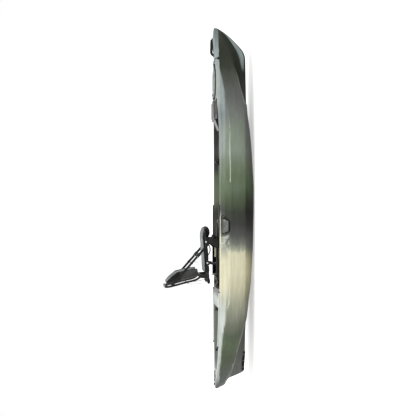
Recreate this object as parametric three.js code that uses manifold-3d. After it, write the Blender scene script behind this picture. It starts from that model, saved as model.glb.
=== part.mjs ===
// A sit-on-top fishing kayak with a folding frame seat.
// Millimetres. +X points to the bow, +Y to port and +Z up.
// The origin is on the ground, under the middle of the hull.
import * as THREE from "three";
import { mergeVertices } from "three/addons/utils/BufferGeometryUtils.js";
import Module from "manifold-3d";

const wasm = await Module();
wasm.setup();

// Driving dimensions of the hull
const hullLength = 3556;
const hullBeam = 889;
const hullHeight = 385;
const hullWall = 6;
const gunwaleWidth = 48;
const floorWidth = 460;
const panelDepth = 4;

// Driving dimensions of the seat
const seatWidth = 410;
const seatLength = 547;
const legLength = 107;
const legSpread = 205;
const backHeight = 373;
const seatTubeDiameter = 22;
const legLean = THREE.MathUtils.degToRad(8);
const seatSlope = THREE.MathUtils.degToRad(4);
const backLean = THREE.MathUtils.degToRad(15);

// Clearances: seatGap lies between pieces that touch, turnGap round a pin, slideGap beside a runner
const seatGap = 0.3;
const turnGap = 0.3;
const slideGap = 0.5;
// How far a cutting shape runs past what it cuts, and how deep joined shapes of one piece sink together
const overrun = 10;
const sink = 1;

const halfLength = hullLength / 2;
const halfBeam = hullBeam / 2;
const seatTubeRadius = seatTubeDiameter / 2;

// Finishes
const finishes = {
  hull: new THREE.MeshStandardMaterial({ color: 0x6f7a66, roughness: 0.45, metalness: 0 }),
  black: new THREE.MeshStandardMaterial({ color: 0x191a19, roughness: 0.5, metalness: 0 }),
  rubber: new THREE.MeshStandardMaterial({ color: 0x1b1b1b, roughness: 0.8, metalness: 0 }),
  aluminium: new THREE.MeshStandardMaterial({ color: 0x202122, roughness: 0.4, metalness: 0.8 }),
  steel: new THREE.MeshStandardMaterial({ color: 0xb4b7b8, roughness: 0.3, metalness: 1 }),
  fabric: new THREE.MeshStandardMaterial({ color: 0x5d625f, roughness: 0.9, metalness: 0 }),
  frame: new THREE.MeshStandardMaterial({ color: 0x141515, roughness: 0.35, metalness: 0.2 }),
  webbing: new THREE.MeshStandardMaterial({ color: 0x141414, roughness: 0.9, metalness: 0 }),
  mottled: new THREE.MeshStandardMaterial({ color: 0x3c3f3b, roughness: 0.7, metalness: 0 }),
};

const kayak = new THREE.Group();

function addPiece(group, name, shape, finish) {
  const geometry = shape instanceof THREE.BufferGeometry ? shape : geometryOf(shape);
  const mesh = new THREE.Mesh(geometry, finishes[finish].clone());
  mesh.name = name;
  group.add(mesh);
  return mesh;
}

// Solids

function signedVolume(positions, indices) {
  const a = new THREE.Vector3();
  const b = new THREE.Vector3();
  const c = new THREE.Vector3();
  let total = 0;
  for (let i = 0; i < indices.length; i += 3) {
    a.fromArray(positions, indices[i] * 3);
    b.fromArray(positions, indices[i + 1] * 3);
    c.fromArray(positions, indices[i + 2] * 3);
    total += a.dot(b.cross(c));
  }
  return total;
}

function solidOf(geometry) {
  const bare = geometry.clone();
  bare.deleteAttribute("normal");
  bare.deleteAttribute("uv");
  const merged = mergeVertices(bare);
  const vertProperties = new Float32Array(merged.attributes.position.array);
  const triVerts = new Uint32Array(merged.index.array);
  if (signedVolume(vertProperties, triVerts) < 0) {
    for (let i = 0; i < triVerts.length; i += 3) {
      [triVerts[i], triVerts[i + 1]] = [triVerts[i + 1], triVerts[i]];
    }
  }
  return new wasm.Manifold(new wasm.Mesh({ numProp: 3, vertProperties, triVerts }));
}

function geometryOf(solid) {
  const mesh = solid.getMesh();
  const geometry = new THREE.BufferGeometry();
  geometry.setAttribute("position", new THREE.BufferAttribute(mesh.vertProperties, mesh.numProp));
  geometry.setIndex(new THREE.BufferAttribute(mesh.triVerts, 1));
  return geometry;
}

function join(...solids) {
  return solids.reduce((all, next) => all.add(next));
}

function cut(solid, ...tools) {
  return tools.reduce((left, tool) => left.subtract(tool), solid);
}

function box(low, high) {
  const size = high.clone().sub(low);
  const geometry = new THREE.BoxGeometry(size.x, size.y, size.z);
  const middle = low.clone().add(high).multiplyScalar(1 / 2);
  return solidOf(geometry.translate(middle.x, middle.y, middle.z));
}

function spanBox(a, b) {
  return box(a.clone().min(b), a.clone().max(b));
}

function at(x, y, z) {
  return new THREE.Vector3(x, y, z);
}

// A round bar from one point to another, wider at one end if it is given two radii
function bar(from, to, radius, sides = 12, endRadius = radius) {
  const run = to.clone().sub(from);
  const geometry = new THREE.CylinderGeometry(endRadius, radius, run.length(), sides);
  const turn = new THREE.Quaternion().setFromUnitVectors(at(0, 1, 0), run.clone().normalize());
  const middle = from.clone().add(to).multiplyScalar(1 / 2);
  geometry.applyQuaternion(turn);
  geometry.translate(middle.x, middle.y, middle.z);
  return solidOf(geometry);
}

function circleShape(radius, sides) {
  const points = [];
  for (let i = 0; i < sides; i += 1) {
    const angle = (2 * Math.PI * i) / sides;
    points.push(new THREE.Vector2(radius * Math.cos(angle), radius * Math.sin(angle)));
  }
  return new THREE.Shape(points);
}

// A tube swept along points by a smooth curve
function tube(points, radius, sides = 8, steps = 12) {
  const path = new THREE.CatmullRomCurve3(points, false, "centripetal");
  const options = { steps, bevelEnabled: false, extrudePath: path };
  return solidOf(new THREE.ExtrudeGeometry(circleShape(radius, sides), options));
}

// A plate of an outline in X and Y, from a low to a high level
function slab(outline, low, high, hole = null) {
  const shape = new THREE.Shape(outline);
  if (hole) {
    shape.holes.push(new THREE.Path(hole));
  }
  const geometry = new THREE.ExtrudeGeometry(shape, { depth: high - low, bevelEnabled: false });
  return solidOf(geometry.translate(0, 0, low));
}

// A plate of an outline in X and Z, across Y
function sidePlate(outline, low, high) {
  const shape = new THREE.Shape(outline);
  const geometry = new THREE.ExtrudeGeometry(shape, { depth: high - low, bevelEnabled: false });
  geometry.rotateX(Math.PI / 2);
  return solidOf(geometry.translate(0, high, 0));
}

const diagonalSlack = 0.001;

// A closed skin over rings of as many points each, with its two ends filled
function loft(rings) {
  const count = rings[0].length;
  const positions = [];
  const indices = [];
  for (const ring of rings) {
    for (const point of ring) {
      positions.push(point.x, point.y, point.z);
    }
  }
  for (let r = 0; r + 1 < rings.length; r += 1) {
    for (let i = 0; i < count; i += 1) {
      const next = (i + 1) % count;
      const a = r * count + i;
      const b = r * count + next;
      const c = (r + 1) * count + next;
      const d = (r + 1) * count + i;
      const forward = rings[r][i].distanceTo(rings[r + 1][next]);
      const backward = rings[r][next].distanceTo(rings[r + 1][i]);
      // The shorter diagonal, so both sides of a symmetric solid get the same faces
      if (forward < backward - diagonalSlack) {
        indices.push(a, b, c, a, c, d);
      } else {
        indices.push(a, b, d, b, c, d);
      }
    }
  }
  for (const [r, flipped] of [[0, true], [rings.length - 1, false]]) {
    for (const face of capFaces(rings[r])) {
      const [a, b, c] = face.map((i) => r * count + i);
      indices.push(...(flipped ? [a, c, b] : [a, b, c]));
    }
  }
  const geometry = new THREE.BufferGeometry();
  geometry.setAttribute("position", new THREE.Float32BufferAttribute(positions, 3));
  geometry.setIndex(indices);
  return solidOf(geometry);
}

// Triangles that fill a flat ring, each with its points in the ring's own order
function capFaces(ring) {
  const size = new THREE.Box3().setFromPoints(ring).getSize(at(0, 0, 0));
  const thinnest = ["x", "y", "z"].reduce((a, b) => (size[a] <= size[b] ? a : b));
  const [p, q] = { x: ["y", "z"], y: ["z", "x"], z: ["x", "y"] }[thinnest];
  const flat = ring.map((point) => new THREE.Vector2(point[p], point[q]));
  const faces = THREE.ShapeUtils.triangulateShape(flat, []);
  return faces.length === ring.length - 2
    ? faces.map((face) => face.sort((a, b) => a - b))
    : zippedFaces(ring.length);
}

// Triangles between the two sides of a ring that is alike on both sides of its first point
function zippedFaces(count) {
  const faces = [];
  let [a, b] = [0, count - 1];
  while (b - a > 1) {
    faces.push([a, a + 1, b]);
    a += 1;
    if (b - a > 1) {
      faces.push([a, b - 1, b]);
      b -= 1;
    }
  }
  return faces;
}

function mix(a, b, share) {
  return a + (b - a) * share;
}

// How far x has come from one place to another, from 0 to 1
function ramp(x, from, to) {
  return THREE.MathUtils.clamp((x - from) / (to - from), 0, 1);
}

// A smooth curve through pairs of place and value that never overshoots them
function smoothCurve(pairs) {
  const last = pairs.length - 1;
  const chords = pairs.slice(1).map(([x, y], i) => (y - pairs[i][1]) / (x - pairs[i][0]));
  const slopes = pairs.map((_, i) => {
    if (i === 0 || i === last) {
      return i === 0 ? chords[0] : chords[last - 1];
    }
    const [before, after] = [chords[i - 1], chords[i]];
    return before * after <= 0 ? 0 : (2 * before * after) / (before + after);
  });
  return (place) => {
    const x = THREE.MathUtils.clamp(place, pairs[0][0], pairs[last][0]);
    const i = Math.max(0, pairs.findIndex(([px]) => px >= x) - 1);
    const [[x0, y0], [x1, y1]] = [pairs[i], pairs[i + 1]];
    const width = x1 - x0;
    const t = (x - x0) / width;
    const rise = y0 * (1 + 2 * t) * (1 - t) ** 2 + y1 * t * t * (3 - 2 * t);
    return rise + width * (slopes[i] * t * (1 - t) ** 2 - slopes[i + 1] * t * t * (1 - t));
  };
}

// Hull lines: places from -1 at the stern to 1 at the bow, with shares of the half beam or the height
const keelHeightShares = smoothCurve([
  [-1, 0.86], [-0.994, 0.825], [-0.989, 0.75], [-0.978, 0.675], [-0.967, 0.652], [-0.944, 0.58],
  [-0.933, 0.455], [-0.912, 0.24], [-0.905, 0.195], [-0.87, 0.193], [-0.8, 0.167], [-0.7, 0.158],
  [-0.6, 0.135], [-0.5, 0.088], [-0.4, 0.05], [-0.3, 0.02], [-0.2, 0.005], [-0.12, 0], [0.12, 0],
  [0.2, 0.01], [0.3, 0.03], [0.4, 0.062], [0.5, 0.1], [0.57, 0.118], [0.58, 0.131], [0.7, 0.145],
  [0.822, 0.155], [0.833, 0.158], [0.867, 0.208], [0.9, 0.333], [0.933, 0.48], [0.967, 0.655], [1, 0.88],
]);
const keelWidthShares = smoothCurve([
  [-1, 0.01], [-0.9, 0.035], [-0.7, 0.045], [-0.62, 0.07], [-0.5, 0.14], [-0.3, 0.3], [-0.1, 0.45],
  [0.1, 0.45], [0.3, 0.3], [0.5, 0.14], [0.57, 0.08], [0.585, 0.05], [0.8, 0.04], [0.9, 0.035], [1, 0.008],
]);
const finShares = smoothCurve([
  [-1, 1], [-0.65, 1], [-0.45, 0.2], [-0.3, 0], [0.3, 0], [0.5, 0.25], [0.57, 0.5], [0.6, 0.9], [0.65, 1], [1, 1],
]);
const edgeWidthShares = smoothCurve([
  [-1, 0.034], [-0.978, 0.068], [-0.956, 0.1], [-0.9, 0.215], [-0.8, 0.37], [-0.7, 0.485], [-0.6, 0.575],
  [-0.5, 0.63], [-0.4, 0.675], [-0.3, 0.697], [-0.1, 0.72], [0.1, 0.716], [0.2, 0.697], [0.3, 0.664],
  [0.4, 0.62], [0.5, 0.562], [0.59, 0.484], [0.68, 0.32], [0.773, 0.135], [0.833, 0.1], [0.885, 0.07],
  [0.933, 0.045], [0.967, 0.03], [1, 0.016],
]);
const edgeHeightShares = smoothCurve([
  [-1, 0.875], [-0.989, 0.785], [-0.978, 0.705], [-0.967, 0.675], [-0.933, 0.6], [-0.9, 0.525], [-0.8, 0.412],
  [-0.7, 0.293], [-0.6, 0.188], [-0.5, 0.145], [-0.4, 0.1], [-0.3, 0.078], [-0.2, 0.055], [-0.1, 0.043],
  [0, 0.03], [0.1, 0.03], [0.2, 0.052], [0.3, 0.075], [0.4, 0.108], [0.5, 0.162], [0.59, 0.243],
  [0.68, 0.33], [0.773, 0.395], [0.833, 0.45], [0.885, 0.52], [0.933, 0.62], [0.967, 0.73], [1, 0.89],
]);
const sideWidthShares = smoothCurve([
  [-1, 0.11], [-0.967, 0.214], [-0.933, 0.292], [-0.9, 0.382], [-0.85, 0.484], [-0.7, 0.742], [-0.51, 0.844],
  [-0.344, 0.9], [-0.2, 0.911], [0, 0.911], [0.2, 0.889], [0.32, 0.844], [0.433, 0.776], [0.5, 0.731],
  [0.6, 0.652], [0.75, 0.405], [0.885, 0.157], [0.967, 0.045], [1, 0.024],
]);
const sideHeightShares = smoothCurve([
  [-1, 0.885], [-0.989, 0.82], [-0.978, 0.77], [-0.956, 0.7], [-0.9, 0.625], [-0.85, 0.588], [-0.7, 0.463],
  [-0.51, 0.368], [-0.344, 0.295], [-0.2, 0.278], [0, 0.27], [0.2, 0.268], [0.32, 0.29], [0.433, 0.333],
  [0.5, 0.363], [0.6, 0.415], [0.75, 0.525], [0.885, 0.638], [0.967, 0.76], [1, 0.905],
]);
const ridgeWidthShares = smoothCurve([
  [-1, 0.135], [-0.989, 0.19], [-0.967, 0.28], [-0.93, 0.382], [-0.87, 0.53], [-0.8, 0.68], [-0.73, 0.795],
  [-0.6, 0.93], [-0.5, 0.967], [-0.3, 0.992], [-0.1, 1], [0.05, 1], [0.15, 0.994], [0.3, 0.967], [0.45, 0.893],
  [0.57, 0.787], [0.7, 0.596], [0.82, 0.405], [0.9, 0.285], [0.93, 0.236], [0.97, 0.145], [1, 0.05],
]);
const ridgeHeightShares = smoothCurve([
  [-1, 0.9], [-0.989, 0.868], [-0.967, 0.847], [-0.93, 0.828], [-0.87, 0.785], [-0.8, 0.757], [-0.73, 0.742],
  [-0.6, 0.712], [-0.5, 0.645], [-0.3, 0.625], [0, 0.612], [0.15, 0.615], [0.3, 0.625], [0.45, 0.643],
  [0.57, 0.68], [0.7, 0.763], [0.82, 0.848], [0.93, 0.888], [1, 0.92],
]);
const gunwaleHeightShares = smoothCurve([
  [-1, 0.93], [-0.9, 0.922], [-0.85, 0.912], [-0.7, 0.9], [-0.5, 0.89], [0.2, 0.89], [0.45, 0.902],
  [0.52, 0.918], [0.59, 0.9375], [0.81, 0.9375], [0.86, 0.95], [0.9, 0.962], [1, 0.965],
]);
const crownShares = smoothCurve([
  [-1, 0.003], [-0.9, 0.006], [-0.5, 0.008], [-0.4, 0], [0.59, 0], [0.81, 0], [0.86, 0.02], [0.92, 0.037],
  [0.97, 0.02], [1, 0],
]);
const floorHeightShares = smoothCurve([[-0.45, 0.24], [0.3, 0.24], [0.42, 0.28], [0.5, 0.36], [0.6, 0.54]]);
const tankFloorShares = smoothCurve([[-0.9, 0.67], [-0.7, 0.59], [-0.54, 0.57]]);

// Bow hatch, and the console behind it over the front of the cockpit
const hatchPlaceShare = 0.694;
const hatchLength = 250;
const hatchWidth = 236;
const hatchRimWidth = 22;
const hatchRimHeight = 8;
const rimEarLength = 16;
const hingeReach = 12;
const hingeBarrelRadius = 7;
const consoleClearance = 10;
const consoleLap = 6;
const consoleBoxFront = 42;
const consoleBoxSpace = 4;
const hatchX = hatchPlaceShare * halfLength;
const rimOuterLength = hatchLength + 2 * hatchRimWidth;
const rimOuterWidth = hatchWidth + 2 * hatchRimWidth;
const hatchPinX = hatchX + rimOuterLength / 2 + hingeReach;
const consoleFront = hatchX - rimOuterLength / 2 - rimEarLength - consoleClearance;

// The seat's tracks, which the cockpit's ledges carry
const seatPlaceShare = -0.194;
const trackAhead = 200;
const trackLength = 594;
const trackClearance = 8;
const ledgeAhead = 28;
const wellRun = 44;
const ledgeRun = 28;
const runnerOutside = 35;
const channelInset = 42;
const seatX = seatPlaceShare * halfLength;
const railHalfSpan = seatWidth / 2;
const runnerHalfSpan = railHalfSpan + runnerOutside;
const trackFront = seatX + trackAhead;
const trackRear = trackFront - trackLength;

// Wells of the deck, as places along the hull: where the wall starts at deck level and where it reaches the floor
const asShares = (places) => places.map((x) => x / halfLength);
const cockpitFrontShares = asShares([consoleFront + consoleLap, consoleFront - consoleBoxFront + consoleBoxSpace]);
const cockpitRearShares = asShares([trackRear - trackClearance - wellRun, trackRear - trackClearance]);
const ledgeFrontShares = asShares([trackFront + ledgeAhead + ledgeRun, trackFront + ledgeAhead]);
const tankFrontShares = [-0.545, -0.56];
const tankRearShares = [-0.89, -0.872];
// Side recess panels, from their front to their rear place, and the share of the side that they cover
const panelSpanShares = [[0.57, 0.15], [-0.3, -0.53]];
const panelBandShares = [0.16, 0.74];
const panelRunShare = 0.008;
const gunwaleInsetShare = 0.91;
const gunwaleShare = 0.3;
const ledgeHeightShare = 0.82;

const footWallShare = 0.45;
const rootWidthShares = [0.5, 0.25];
const rootHeightShares = [0.3, 0.8];
const panelLipShare = 0.02;
const wallReachShare = 1.2;

const wellLean = 22;
const ledgeLean = 10;
const floorCorner = 34;
const channelCorner = 12;
const tankCorner = 24;

function weightBetween(place, [start, startFoot], [end, endFoot]) {
  return Math.min(ramp(place, start, startFoot), ramp(place, end, endFoot));
}

function panelWeight(place) {
  return Math.max(...panelSpanShares.map(([front, rear]) => (
    weightBetween(place, [front, front - panelRunShare], [rear, rear + panelRunShare])
  )));
}

function gunwaleOuter(place) {
  return halfBeam * ridgeWidthShares(place) * gunwaleInsetShare;
}

function gunwaleInner(place) {
  const outer = gunwaleOuter(place);
  return outer - Math.min(gunwaleWidth, outer * gunwaleShare);
}

// The deck from the gunwale's inner edge to the middle, as four points of Y and Z
function deckPoints(place) {
  const inner = gunwaleInner(place);
  const top = hullHeight * gunwaleHeightShares(place);
  const crown = hullHeight * crownShares(place);
  const floor = hullHeight * floorHeightShares(place);
  const ledge = hullHeight * ledgeHeightShare;
  const tankFloor = hullHeight * tankFloorShares(place);
  const floorHalf = Math.min(floorWidth / 2, inner - wellLean - 2 * floorCorner);
  const tankHalf = inner - wellLean;
  const channelHalf = runnerHalfSpan - channelInset;
  const deckShares = [0.8, 0.55, 0.28, 0];
  const plain = deckShares.map((share) => [inner * share, top + crown * (1 - share * share)]);
  const foot = [
    [inner - wellLean, mix(floor, top, footWallShare)],
    [floorHalf + floorCorner, floor + floorCorner],
    [floorHalf, floor],
    [0, floor],
  ];
  const seat = [
    [inner - ledgeLean, ledge],
    [channelHalf, ledge],
    [channelHalf - channelCorner, floor],
    [0, floor],
  ];
  const tank = [
    [tankHalf, tankFloor + tankCorner],
    [tankHalf - tankCorner, tankFloor],
    [tankHalf / 2, tankFloor],
    [0, tankFloor],
  ];
  const cockpitWeight = weightBetween(place, cockpitFrontShares, cockpitRearShares);
  const seatWeight = cockpitWeight * ramp(place, ...ledgeFrontShares);
  const footWeight = cockpitWeight - seatWeight;
  const tankWeight = weightBetween(place, tankFrontShares, tankRearShares);
  const plainWeight = 1 - cockpitWeight - tankWeight;
  return plain.map((_, i) => [0, 1].map((c) => (
    plain[i][c] * plainWeight + foot[i][c] * footWeight + seat[i][c] * seatWeight + tank[i][c] * tankWeight
  )));
}

// Half of the hull's section from keel to deck, as points of Y and Z
function hullLines(place) {
  const keelWidth = halfBeam * keelWidthShares(place);
  const keelHeight = hullHeight * keelHeightShares(place);
  const edge = [halfBeam * edgeWidthShares(place), hullHeight * edgeHeightShares(place)];
  const fin = finShares(place);
  const root = [
    mix(keelWidth, edge[0], mix(...rootWidthShares, fin)),
    mix(keelHeight, edge[1], mix(...rootHeightShares, fin)),
  ];
  return {
    keel: [keelWidth, keelHeight],
    root,
    edge,
    side: [halfBeam * sideWidthShares(place), hullHeight * sideHeightShares(place)],
    ridge: [halfBeam * ridgeWidthShares(place), hullHeight * ridgeHeightShares(place)],
    outer: [gunwaleOuter(place), hullHeight * gunwaleHeightShares(place)],
    inner: [gunwaleInner(place), hullHeight * gunwaleHeightShares(place)],
  };
}

function outerSection(place) {
  const { keel, root, edge, side, ridge, outer, inner } = hullLines(place);
  const depth = panelDepth * panelWeight(place);
  const onSide = (share, inset) => [mix(ridge[0], outer[0], share) - inset, mix(ridge[1], outer[1], share)];
  const [low, high] = panelBandShares;
  return [
    [0, keel[1]], keel, root, edge, side, ridge,
    onSide(low, 0), onSide(low + panelLipShare, depth), onSide(high - panelLipShare, depth), onSide(high, 0),
    outer, inner, ...deckPoints(place),
  ];
}

// The hollow's section stays one wall inside the skin, also where the skin slopes along the hull
function hollowSection(place) {
  const reach = (hullWall * wallReachShare) / halfLength;
  const near = [place - reach, place, place + reach];
  const lines = near.map(hullLines);
  const decks = near.map(deckPoints);
  const least = (list) => Math.min(...list);
  const most = (list) => Math.max(...list);
  const sideWall = hullWall + panelDepth;
  const bottom = (name) => [
    least(lines.map((line) => line[name][0])) - hullWall,
    most(lines.map((line) => line[name][1])) + hullWall,
  ];
  const top = least(lines.map((line) => line.inner[1])) - hullWall;
  const deck = decks[0].map((_, i) => [
    i === decks[0].length - 1 ? 0 : most(decks.map((points) => points[i][0])) + hullWall,
    least(decks.map((points) => points[i][1])) - hullWall,
  ]);
  return [
    [0, bottom("root")[1]],
    bottom("edge"),
    bottom("side"),
    [least(lines.map((line) => line.ridge[0])) - sideWall, lines[1].ridge[1]],
    [least(lines.map((line) => line.outer[0])) - sideWall, top],
    [most(lines.map((line) => line.inner[0])) + hullWall, top],
    ...deck,
  ];
}

function sectionRing(place, points) {
  const x = place * halfLength;
  const port = points.map(([y, z]) => at(x, y, z));
  const starboard = points.slice(1, -1).reverse().map(([y, z]) => at(x, -y, z));
  return [...port, ...starboard];
}

const hollowEndShares = [-0.985, 0.93];
const plainStationShares = [
  -1, -0.994, -0.989, -0.978, -0.967, -0.944, -0.933, -0.912, -0.905, -0.84, -0.8, -0.7, -0.62, -0.5, -0.36,
  -0.2, -0.12, 0, 0.12, 0.24, 0.34, 0.44, 0.51, 0.59, 0.64, 0.7, 0.76, 0.81, 0.833, 0.867, 0.9, 0.933, 0.967, 1,
];
const panelEdges = panelSpanShares.flatMap(([front, rear]) => [
  front, front - panelRunShare, rear + panelRunShare, rear,
]);
const hullStations = [
  ...plainStationShares, ...cockpitFrontShares, ...cockpitRearShares, ...ledgeFrontShares,
  ...tankFrontShares, ...tankRearShares, ...panelEdges, ...hollowEndShares,
].sort((a, b) => a - b).filter((place, i, all) => i === 0 || place - all[i - 1] > 1e-6);

// A height or width of the hull as its flat faces have it, between two stations
function alongFaces(x, value) {
  const place = x / halfLength;
  const i = Math.max(1, hullStations.findIndex((station) => station >= place));
  const [before, after] = [hullStations[i - 1], hullStations[i]];
  return mix(value(before), value(after), ramp(place, before, after));
}

function gunwaleTop(x) {
  return alongFaces(x, (place) => hullLines(place).outer[1]);
}

function gunwaleMiddle(x) {
  return alongFaces(x, (place) => mix(hullLines(place).outer[0], hullLines(place).inner[0], 1 / 2));
}

const hullSolid = loft(hullStations.map((place) => sectionRing(place, outerSection(place))));
const hollowStations = hullStations.filter((place) => (
  place >= hollowEndShares[0] && place <= hollowEndShares[1]
));
const hollowSolid = loft(hollowStations.map((place) => sectionRing(place, hollowSection(place))));

// The hull moved a little, to cut the seat of what stands on it
function hullMoved(x, y, z) {
  return hullSolid.translate([x, y, z]);
}

// Carry handles at bow and stern, each over a scoop for the fingers
const scoopWidth = 92;
const scoopDepth = 24;
const carryHandles = {
  bow: { middleShare: 0.891, length: 190, rise: 24, radius: 9 },
  stern: { middleShare: -0.933, length: 116, rise: 9, radius: 7 },
};
const handleFootRadius = 15;
const handleFootHeight = 8;
const shoulderShare = 0.7;
const scoopMargin = 5;

function deckMiddle(x) {
  return alongFaces(x, (place) => deckPoints(place)[3][1]);
}

function scoopTool(handle, grow) {
  const x = handle.middleShare * halfLength;
  const half = handle.length / 2 - 2 * handleFootRadius - scoopMargin;
  const deck = deckMiddle(x);
  const radius = (half * half + scoopDepth * scoopDepth) / (2 * scoopDepth);
  const middle = at(x, 0, deck - scoopDepth + radius);
  const across = at(0, scoopWidth / 2 + grow, 0);
  return bar(middle.clone().sub(across), middle.clone().add(across), radius + grow, 40);
}

function carryHandle(handle) {
  const x = handle.middleShare * halfLength;
  const half = handle.length / 2 - handleFootRadius;
  const foot = (sign) => at(x + sign * half, 0, deckMiddle(x + sign * half));
  const up = at(0, 0, handleFootHeight);
  const top = deckMiddle(x) + handle.rise - handle.radius;
  const ends = [foot(-1), foot(1)];
  const shoulder = half * shoulderShare;
  const path = [
    ends[0].clone().add(up),
    at(x - shoulder, 0, top),
    at(x, 0, top + sink),
    at(x + shoulder, 0, top),
    ends[1].clone().add(up),
  ];
  const feet = ends.map((end) => (
    bar(end.clone().sub(at(0, 0, overrun)), end.clone().add(up).add(at(0, 0, sink)), handleFootRadius, 16)
  ));
  const grip = tube(path, handle.radius, 8, 14);
  return cut(join(grip, ...feet), hullMoved(0, 0, seatGap));
}

// Scuppers drain the cockpit floor and the tankwell through the hull
const scupperRadius = 16;
const scupperPlaceShares = [[0.2, 0.34], [-0.37, 0.3], [-0.74, 0.28]];

function scupperTools(grow) {
  return scupperPlaceShares.flatMap(([place, across]) => [1, -1].map((side) => {
    const x = place * halfLength;
    const y = side * across * halfBeam;
    const low = at(x, y, -overrun);
    const high = at(x, y, hullHeight);
    return bar(low, high, scupperRadius + grow, 12);
  }));
}

// Hatch opening, an oval with flattened sides
const ovalPower = 2.8;

function oval(x, length, width, count = 36) {
  const points = [];
  for (let i = 0; i < count; i += 1) {
    const angle = (2 * Math.PI * i) / count;
    const [c, s] = [Math.cos(angle), Math.sin(angle)];
    const px = Math.sign(c) * Math.abs(c) ** (2 / ovalPower);
    const py = Math.sign(s) * Math.abs(s) ** (2 / ovalPower);
    points.push(new THREE.Vector2(x + (px * length) / 2, (py * width) / 2));
  }
  return points;
}

const hatchDeck = deckMiddle(hatchX);
const hatchHole = slab(
  oval(hatchX, hatchLength, hatchWidth),
  hatchDeck - hullWall - overrun,
  hatchDeck + overrun,
);

// Side handle pockets, flat-floored and parallel to the leaning side
const sideHandleShare = -0.0973;
const pocketLength = 204;
const pocketDepth = 21;
const pocketBandShares = [0.1, 0.58, 0.93];
const pocketFootShare = 0.5;

// A frame on the hull's side: along the hull, up the side and outwards
function sideFrame(side, place) {
  const { ridge, outer } = hullLines(place);
  const low = at(place * halfLength, side * ridge[0], ridge[1]);
  const high = at(place * halfLength, side * outer[0], outer[1]);
  const up = high.clone().sub(low).normalize();
  const along = at(1, 0, 0);
  const out = along.clone().cross(up).multiplyScalar(-side);
  return { low, high, up, along, out, reach: high.distanceTo(low) };
}

function onSideFrame(frame, along, up, out) {
  return frame.low.clone()
    .addScaledVector(frame.along, along)
    .addScaledVector(frame.up, up)
    .addScaledVector(frame.out, out);
}

function pocketTool(side, grow) {
  const frame = sideFrame(side, sideHandleShare);
  const half = pocketLength / 2;
  const [low, middle, high] = pocketBandShares.map((share) => share * frame.reach);
  const foot = half * pocketFootShare;
  const outline = [
    [-foot - grow, low - grow], [foot + grow, low - grow], [half + grow, middle],
    [half + grow, high + grow], [-half - grow, high + grow], [-half - grow, middle],
  ];
  const levels = [-pocketDepth - grow, overrun];
  return loft(levels.map((level) => outline.map(([a, u]) => onSideFrame(frame, a, u, level))));
}

// Drain hole in the stern deck
const drainRadius = 11;
const drainBoreDepth = 26;
const drainClearance = 6;
const plugHeadRadius = 15;
const sternHandleRear = carryHandles.stern.middleShare * halfLength - carryHandles.stern.length / 2;
const drainX = sternHandleRear - drainClearance - plugHeadRadius;
const drainDeck = deckMiddle(drainX);
const drainHole = bar(
  at(drainX, 0, drainDeck - drainBoreDepth),
  at(drainX, 0, drainDeck + overrun),
  drainRadius,
  16,
);

const bothSides = [1, -1];
const roomInside = cut(
  hollowSolid,
  ...scupperTools(hullWall),
  ...bothSides.map((side) => pocketTool(side, hullWall)),
  ...Object.values(carryHandles).map((handle) => scoopTool(handle, hullWall)),
);
const hullShell = cut(
  hullSolid,
  roomInside,
  ...scupperTools(0),
  ...bothSides.map((side) => pocketTool(side, 0)),
  ...Object.values(carryHandles).map((handle) => scoopTool(handle, 0)),
  hatchHole,
  drainHole,
);
addPiece(kayak, "hull_shell", hullShell, "hull");
addPiece(kayak, "bow_handle", carryHandle(carryHandles.bow), "black");
addPiece(kayak, "stern_handle", carryHandle(carryHandles.stern), "black");

// Places one piece on the port side and its mirror image on the starboard side
function addPair(group, name, solid, finish) {
  addPiece(group, `${name}_left`, solid, finish);
  addPiece(group, `${name}_right`, solid.mirror([0, 1, 0]), finish);
}

// Moves a solid built on X, Y and Z to an origin with two directions of its own
function framed(solid, origin, along, up) {
  const across = up.clone().cross(along);
  const matrix = new THREE.Matrix4().makeBasis(along, across, up).setPosition(origin);
  return solid.transform(matrix.elements);
}

// A ring of X-wise stations that also stops at every station of the hull between two places
function stopsBetween(fromX, toX) {
  const between = hullStations.map((place) => place * halfLength).filter((x) => x > fromX + sink && x < toX - sink);
  return [fromX, ...between, toX];
}

// Keel skid plate: a channel over the lower edge of the stern fin
const skidSpanShares = [-0.9, -0.795];
const skidThickness = 4;
const skidRise = 22;
const skidSideWall = 9;

function skidPlate() {
  const [rear, front] = skidSpanShares.map((share) => share * halfLength);
  const rings = stopsBetween(rear, front).map((x) => {
    const half = alongFaces(x, (place) => hullLines(place).keel[0]) + skidSideWall;
    const keel = alongFaces(x, (place) => hullLines(place).keel[1]);
    const [low, high] = [keel - skidThickness, keel + skidRise];
    return [at(x, -half, low), at(x, half, low), at(x, half, high), at(x, -half, high)];
  });
  return cut(loft(rings), hullMoved(0, 0, -seatGap));
}

addPiece(kayak, "keel_skid_plate", skidPlate(), "black");

// Gear tracks: slotted rails on the gunwales and under the seat
const trackWidth = 30;
const trackHeight = 10;
const trackSlot = 9;
const trackFloor = 6.2;
const frontTrackShares = [-0.155, 0.017];
const rearTrackShares = [-0.76, -0.452];

function trackRing(x, y, z) {
  const half = trackWidth / 2;
  const slot = trackSlot / 2;
  return [
    [-half, 0], [half, 0], [half, trackHeight], [slot, trackHeight],
    [slot, trackFloor], [-slot, trackFloor], [-slot, trackHeight], [-half, trackHeight],
  ].map(([across, up]) => at(x, y + across, z + up));
}

function gunwaleTrack(shares) {
  const [rear, front] = shares.map((share) => share * halfLength);
  return loft(stopsBetween(rear, front).map((x) => trackRing(x, gunwaleMiddle(x), gunwaleTop(x) + seatGap)));
}

addPair(kayak, "gear_track_front", gunwaleTrack(frontTrackShares), "aluminium");
addPair(kayak, "gear_track_rear", gunwaleTrack(rearTrackShares), "aluminium");

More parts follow.
